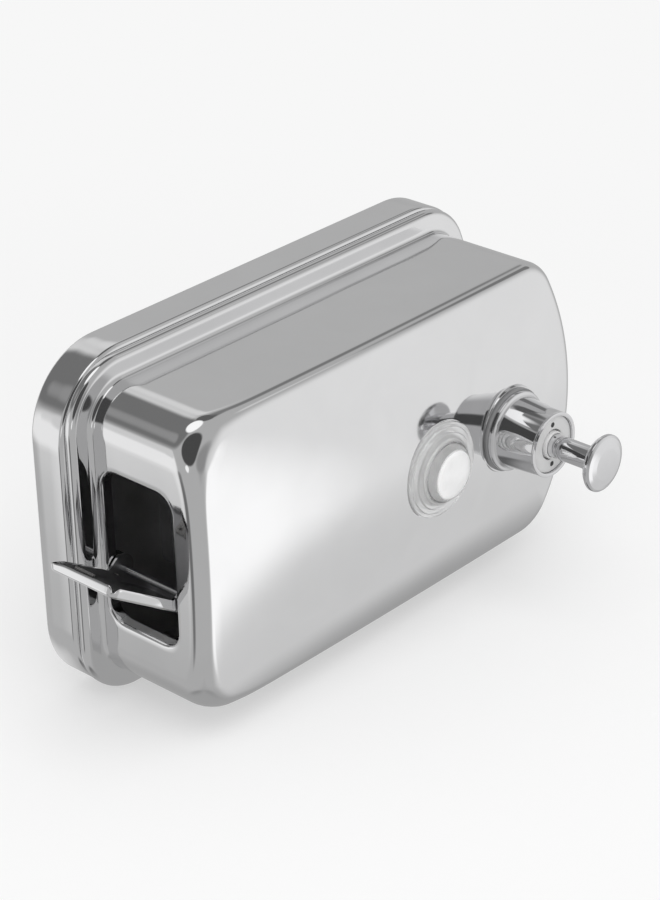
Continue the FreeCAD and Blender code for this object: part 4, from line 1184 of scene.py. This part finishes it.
def world_light():
    """A pale studio: white where it is seen, panels and flags in mirrors, and plain light elsewhere."""
    world = bpy.data.worlds.new("studio")
    bpy.context.scene.world = world
    world.use_nodes = True
    tree = world.node_tree
    tree.nodes.clear()

    def background(colour):
        return add_node(tree, "Background", {"Color": colour})

    path = add_node(tree, "LightPath")
    seen = maths(tree, "Math", "MAXIMUM", path.outputs["Is Camera Ray"],
                 path.outputs["Is Transmission Ray"])
    unseen = choose(tree, path.outputs["Is Glossy Ray"], background(grey(PLAIN_LIGHT)),
                    background(studio_in_mirrors(tree)))
    add_node(tree, "OutputWorld", {"Surface": choose(tree, seen, unseen, background(grey(PALE)))})


def floor():
    """The pale floor that the tank's side rests on. Seen from behind it isn't there."""
    mesh = bpy.data.meshes.new("floor")
    x = cad_box[0][0] - FLOOR_GAP
    corners = ((-1, -1), (1, -1), (1, 1), (-1, 1))
    mesh.from_pydata([(x, FLOOR_HALF * y, FLOOR_HALF * z) for y, z in corners], [], [(0, 1, 2, 3)])
    thing = placed("floor", mesh)
    material, tree, shader = node_material("pale_floor")
    tree.nodes.remove(shader)
    matt = add_node(tree, "BsdfDiffuse", {"Color": grey(FLOOR_TONE)})
    bump(tree, matt, noise(tree, 300, 3), 0.05, 0.0005)
    pale = add_node(tree, "Emission", {"Color": grey(PALE)})
    clear = add_node(tree, "BsdfTransparent")
    place = add_node(tree, "TexCoord")
    far = maths(tree, "VectorMath", "LENGTH", place.outputs["Object"])
    lit = choose(tree, fade_over(tree, far, FLOOR_FADE, FLOOR_PALENESS), matt, pale)
    path = add_node(tree, "LightPath")
    side = add_node(tree, "NewGeometry")
    mirrored = floor_in_mirrors(tree, side.outputs["Position"], clear)
    shown = choose(tree, path.outputs["Is Glossy Ray"], lit, mirrored)
    sided = choose(tree, side.outputs["Backfacing"], shown, clear)
    tree.links.new(sided.outputs["Shader"], tree.nodes["Material Output"].inputs["Surface"])
    mesh.materials.append(material)


def floor_in_mirrors(tree, position, clear):
    """In the metal the floor shows as the grey of its shadow beside the tank, and beyond that as
    the studio."""
    split = add_node(tree, "SeparateXYZ", {"Vector": position})
    past = []
    for axis, middle, half in SHADOW_BANDS:
        away = maths(tree, "Math", "ABSOLUTE",
                     maths(tree, "Math", "SUBTRACT", split.outputs[axis], middle))
        past.append(maths(tree, "Math", "SUBTRACT", away, half))
    far = maths(tree, "Math", "MAXIMUM", *past)
    shadow = add_node(tree, "Emission", {"Color": grey(SHADOW_TONE)})
    return choose(tree, fade_over(tree, far, SHADOW_FADE), shadow, clear)


def lamp(name, place, size, power):
    """A soft square lamp that mirrors don't show."""
    data = bpy.data.lights.new(name, "AREA")
    data.shape = "SQUARE"
    data.size = size
    data.energy = power
    thing = placed(name, data)
    thing.location = place
    thing.rotation_mode = "QUATERNION"
    thing.rotation_quaternion = (-Vector(place)).to_track_quat("-Z", "Y")
    thing.visible_glossy = False


# The camera: its place, and its own right, up and back directions.
CAMERA_AT = (396.088, -543.370, 556.029)
CAMERA_TURN = ((-0.01904581, -0.74386112, -0.66806279),
               (0.88585238, 0.29725552, -0.35623688),
               (0.46357612, -0.59858984, 0.65328967))


def camera():
    """The viewpoint: the dispenser lies on its side, its filler end at the left."""
    data = bpy.data.cameras.new("camera")
    data.lens = 103.6
    data.sensor_width = 36.0
    data.clip_start = 0.05
    data.clip_end = 30.0
    thing = placed("camera", data)
    turn = Matrix(CAMERA_TURN).transposed().to_4x4()
    thing.matrix_world = Matrix.Translation(Vector(CAMERA_AT) * MM) @ turn
    bpy.context.scene.camera = thing


tank_front()
tank_back()
seam_gasket()
flap()
flap_latch()
hinge_pin()
pin_eyes()
flap_spring()
window()
pump_outside()
plunger()
barrel()
springs()
inlet()
carried_over()

world_light()
floor()
for name, place, size, power in LAMPS:
    lamp(name, place, size, power)
camera()
bpy.context.scene.view_settings.view_transform = "Standard"
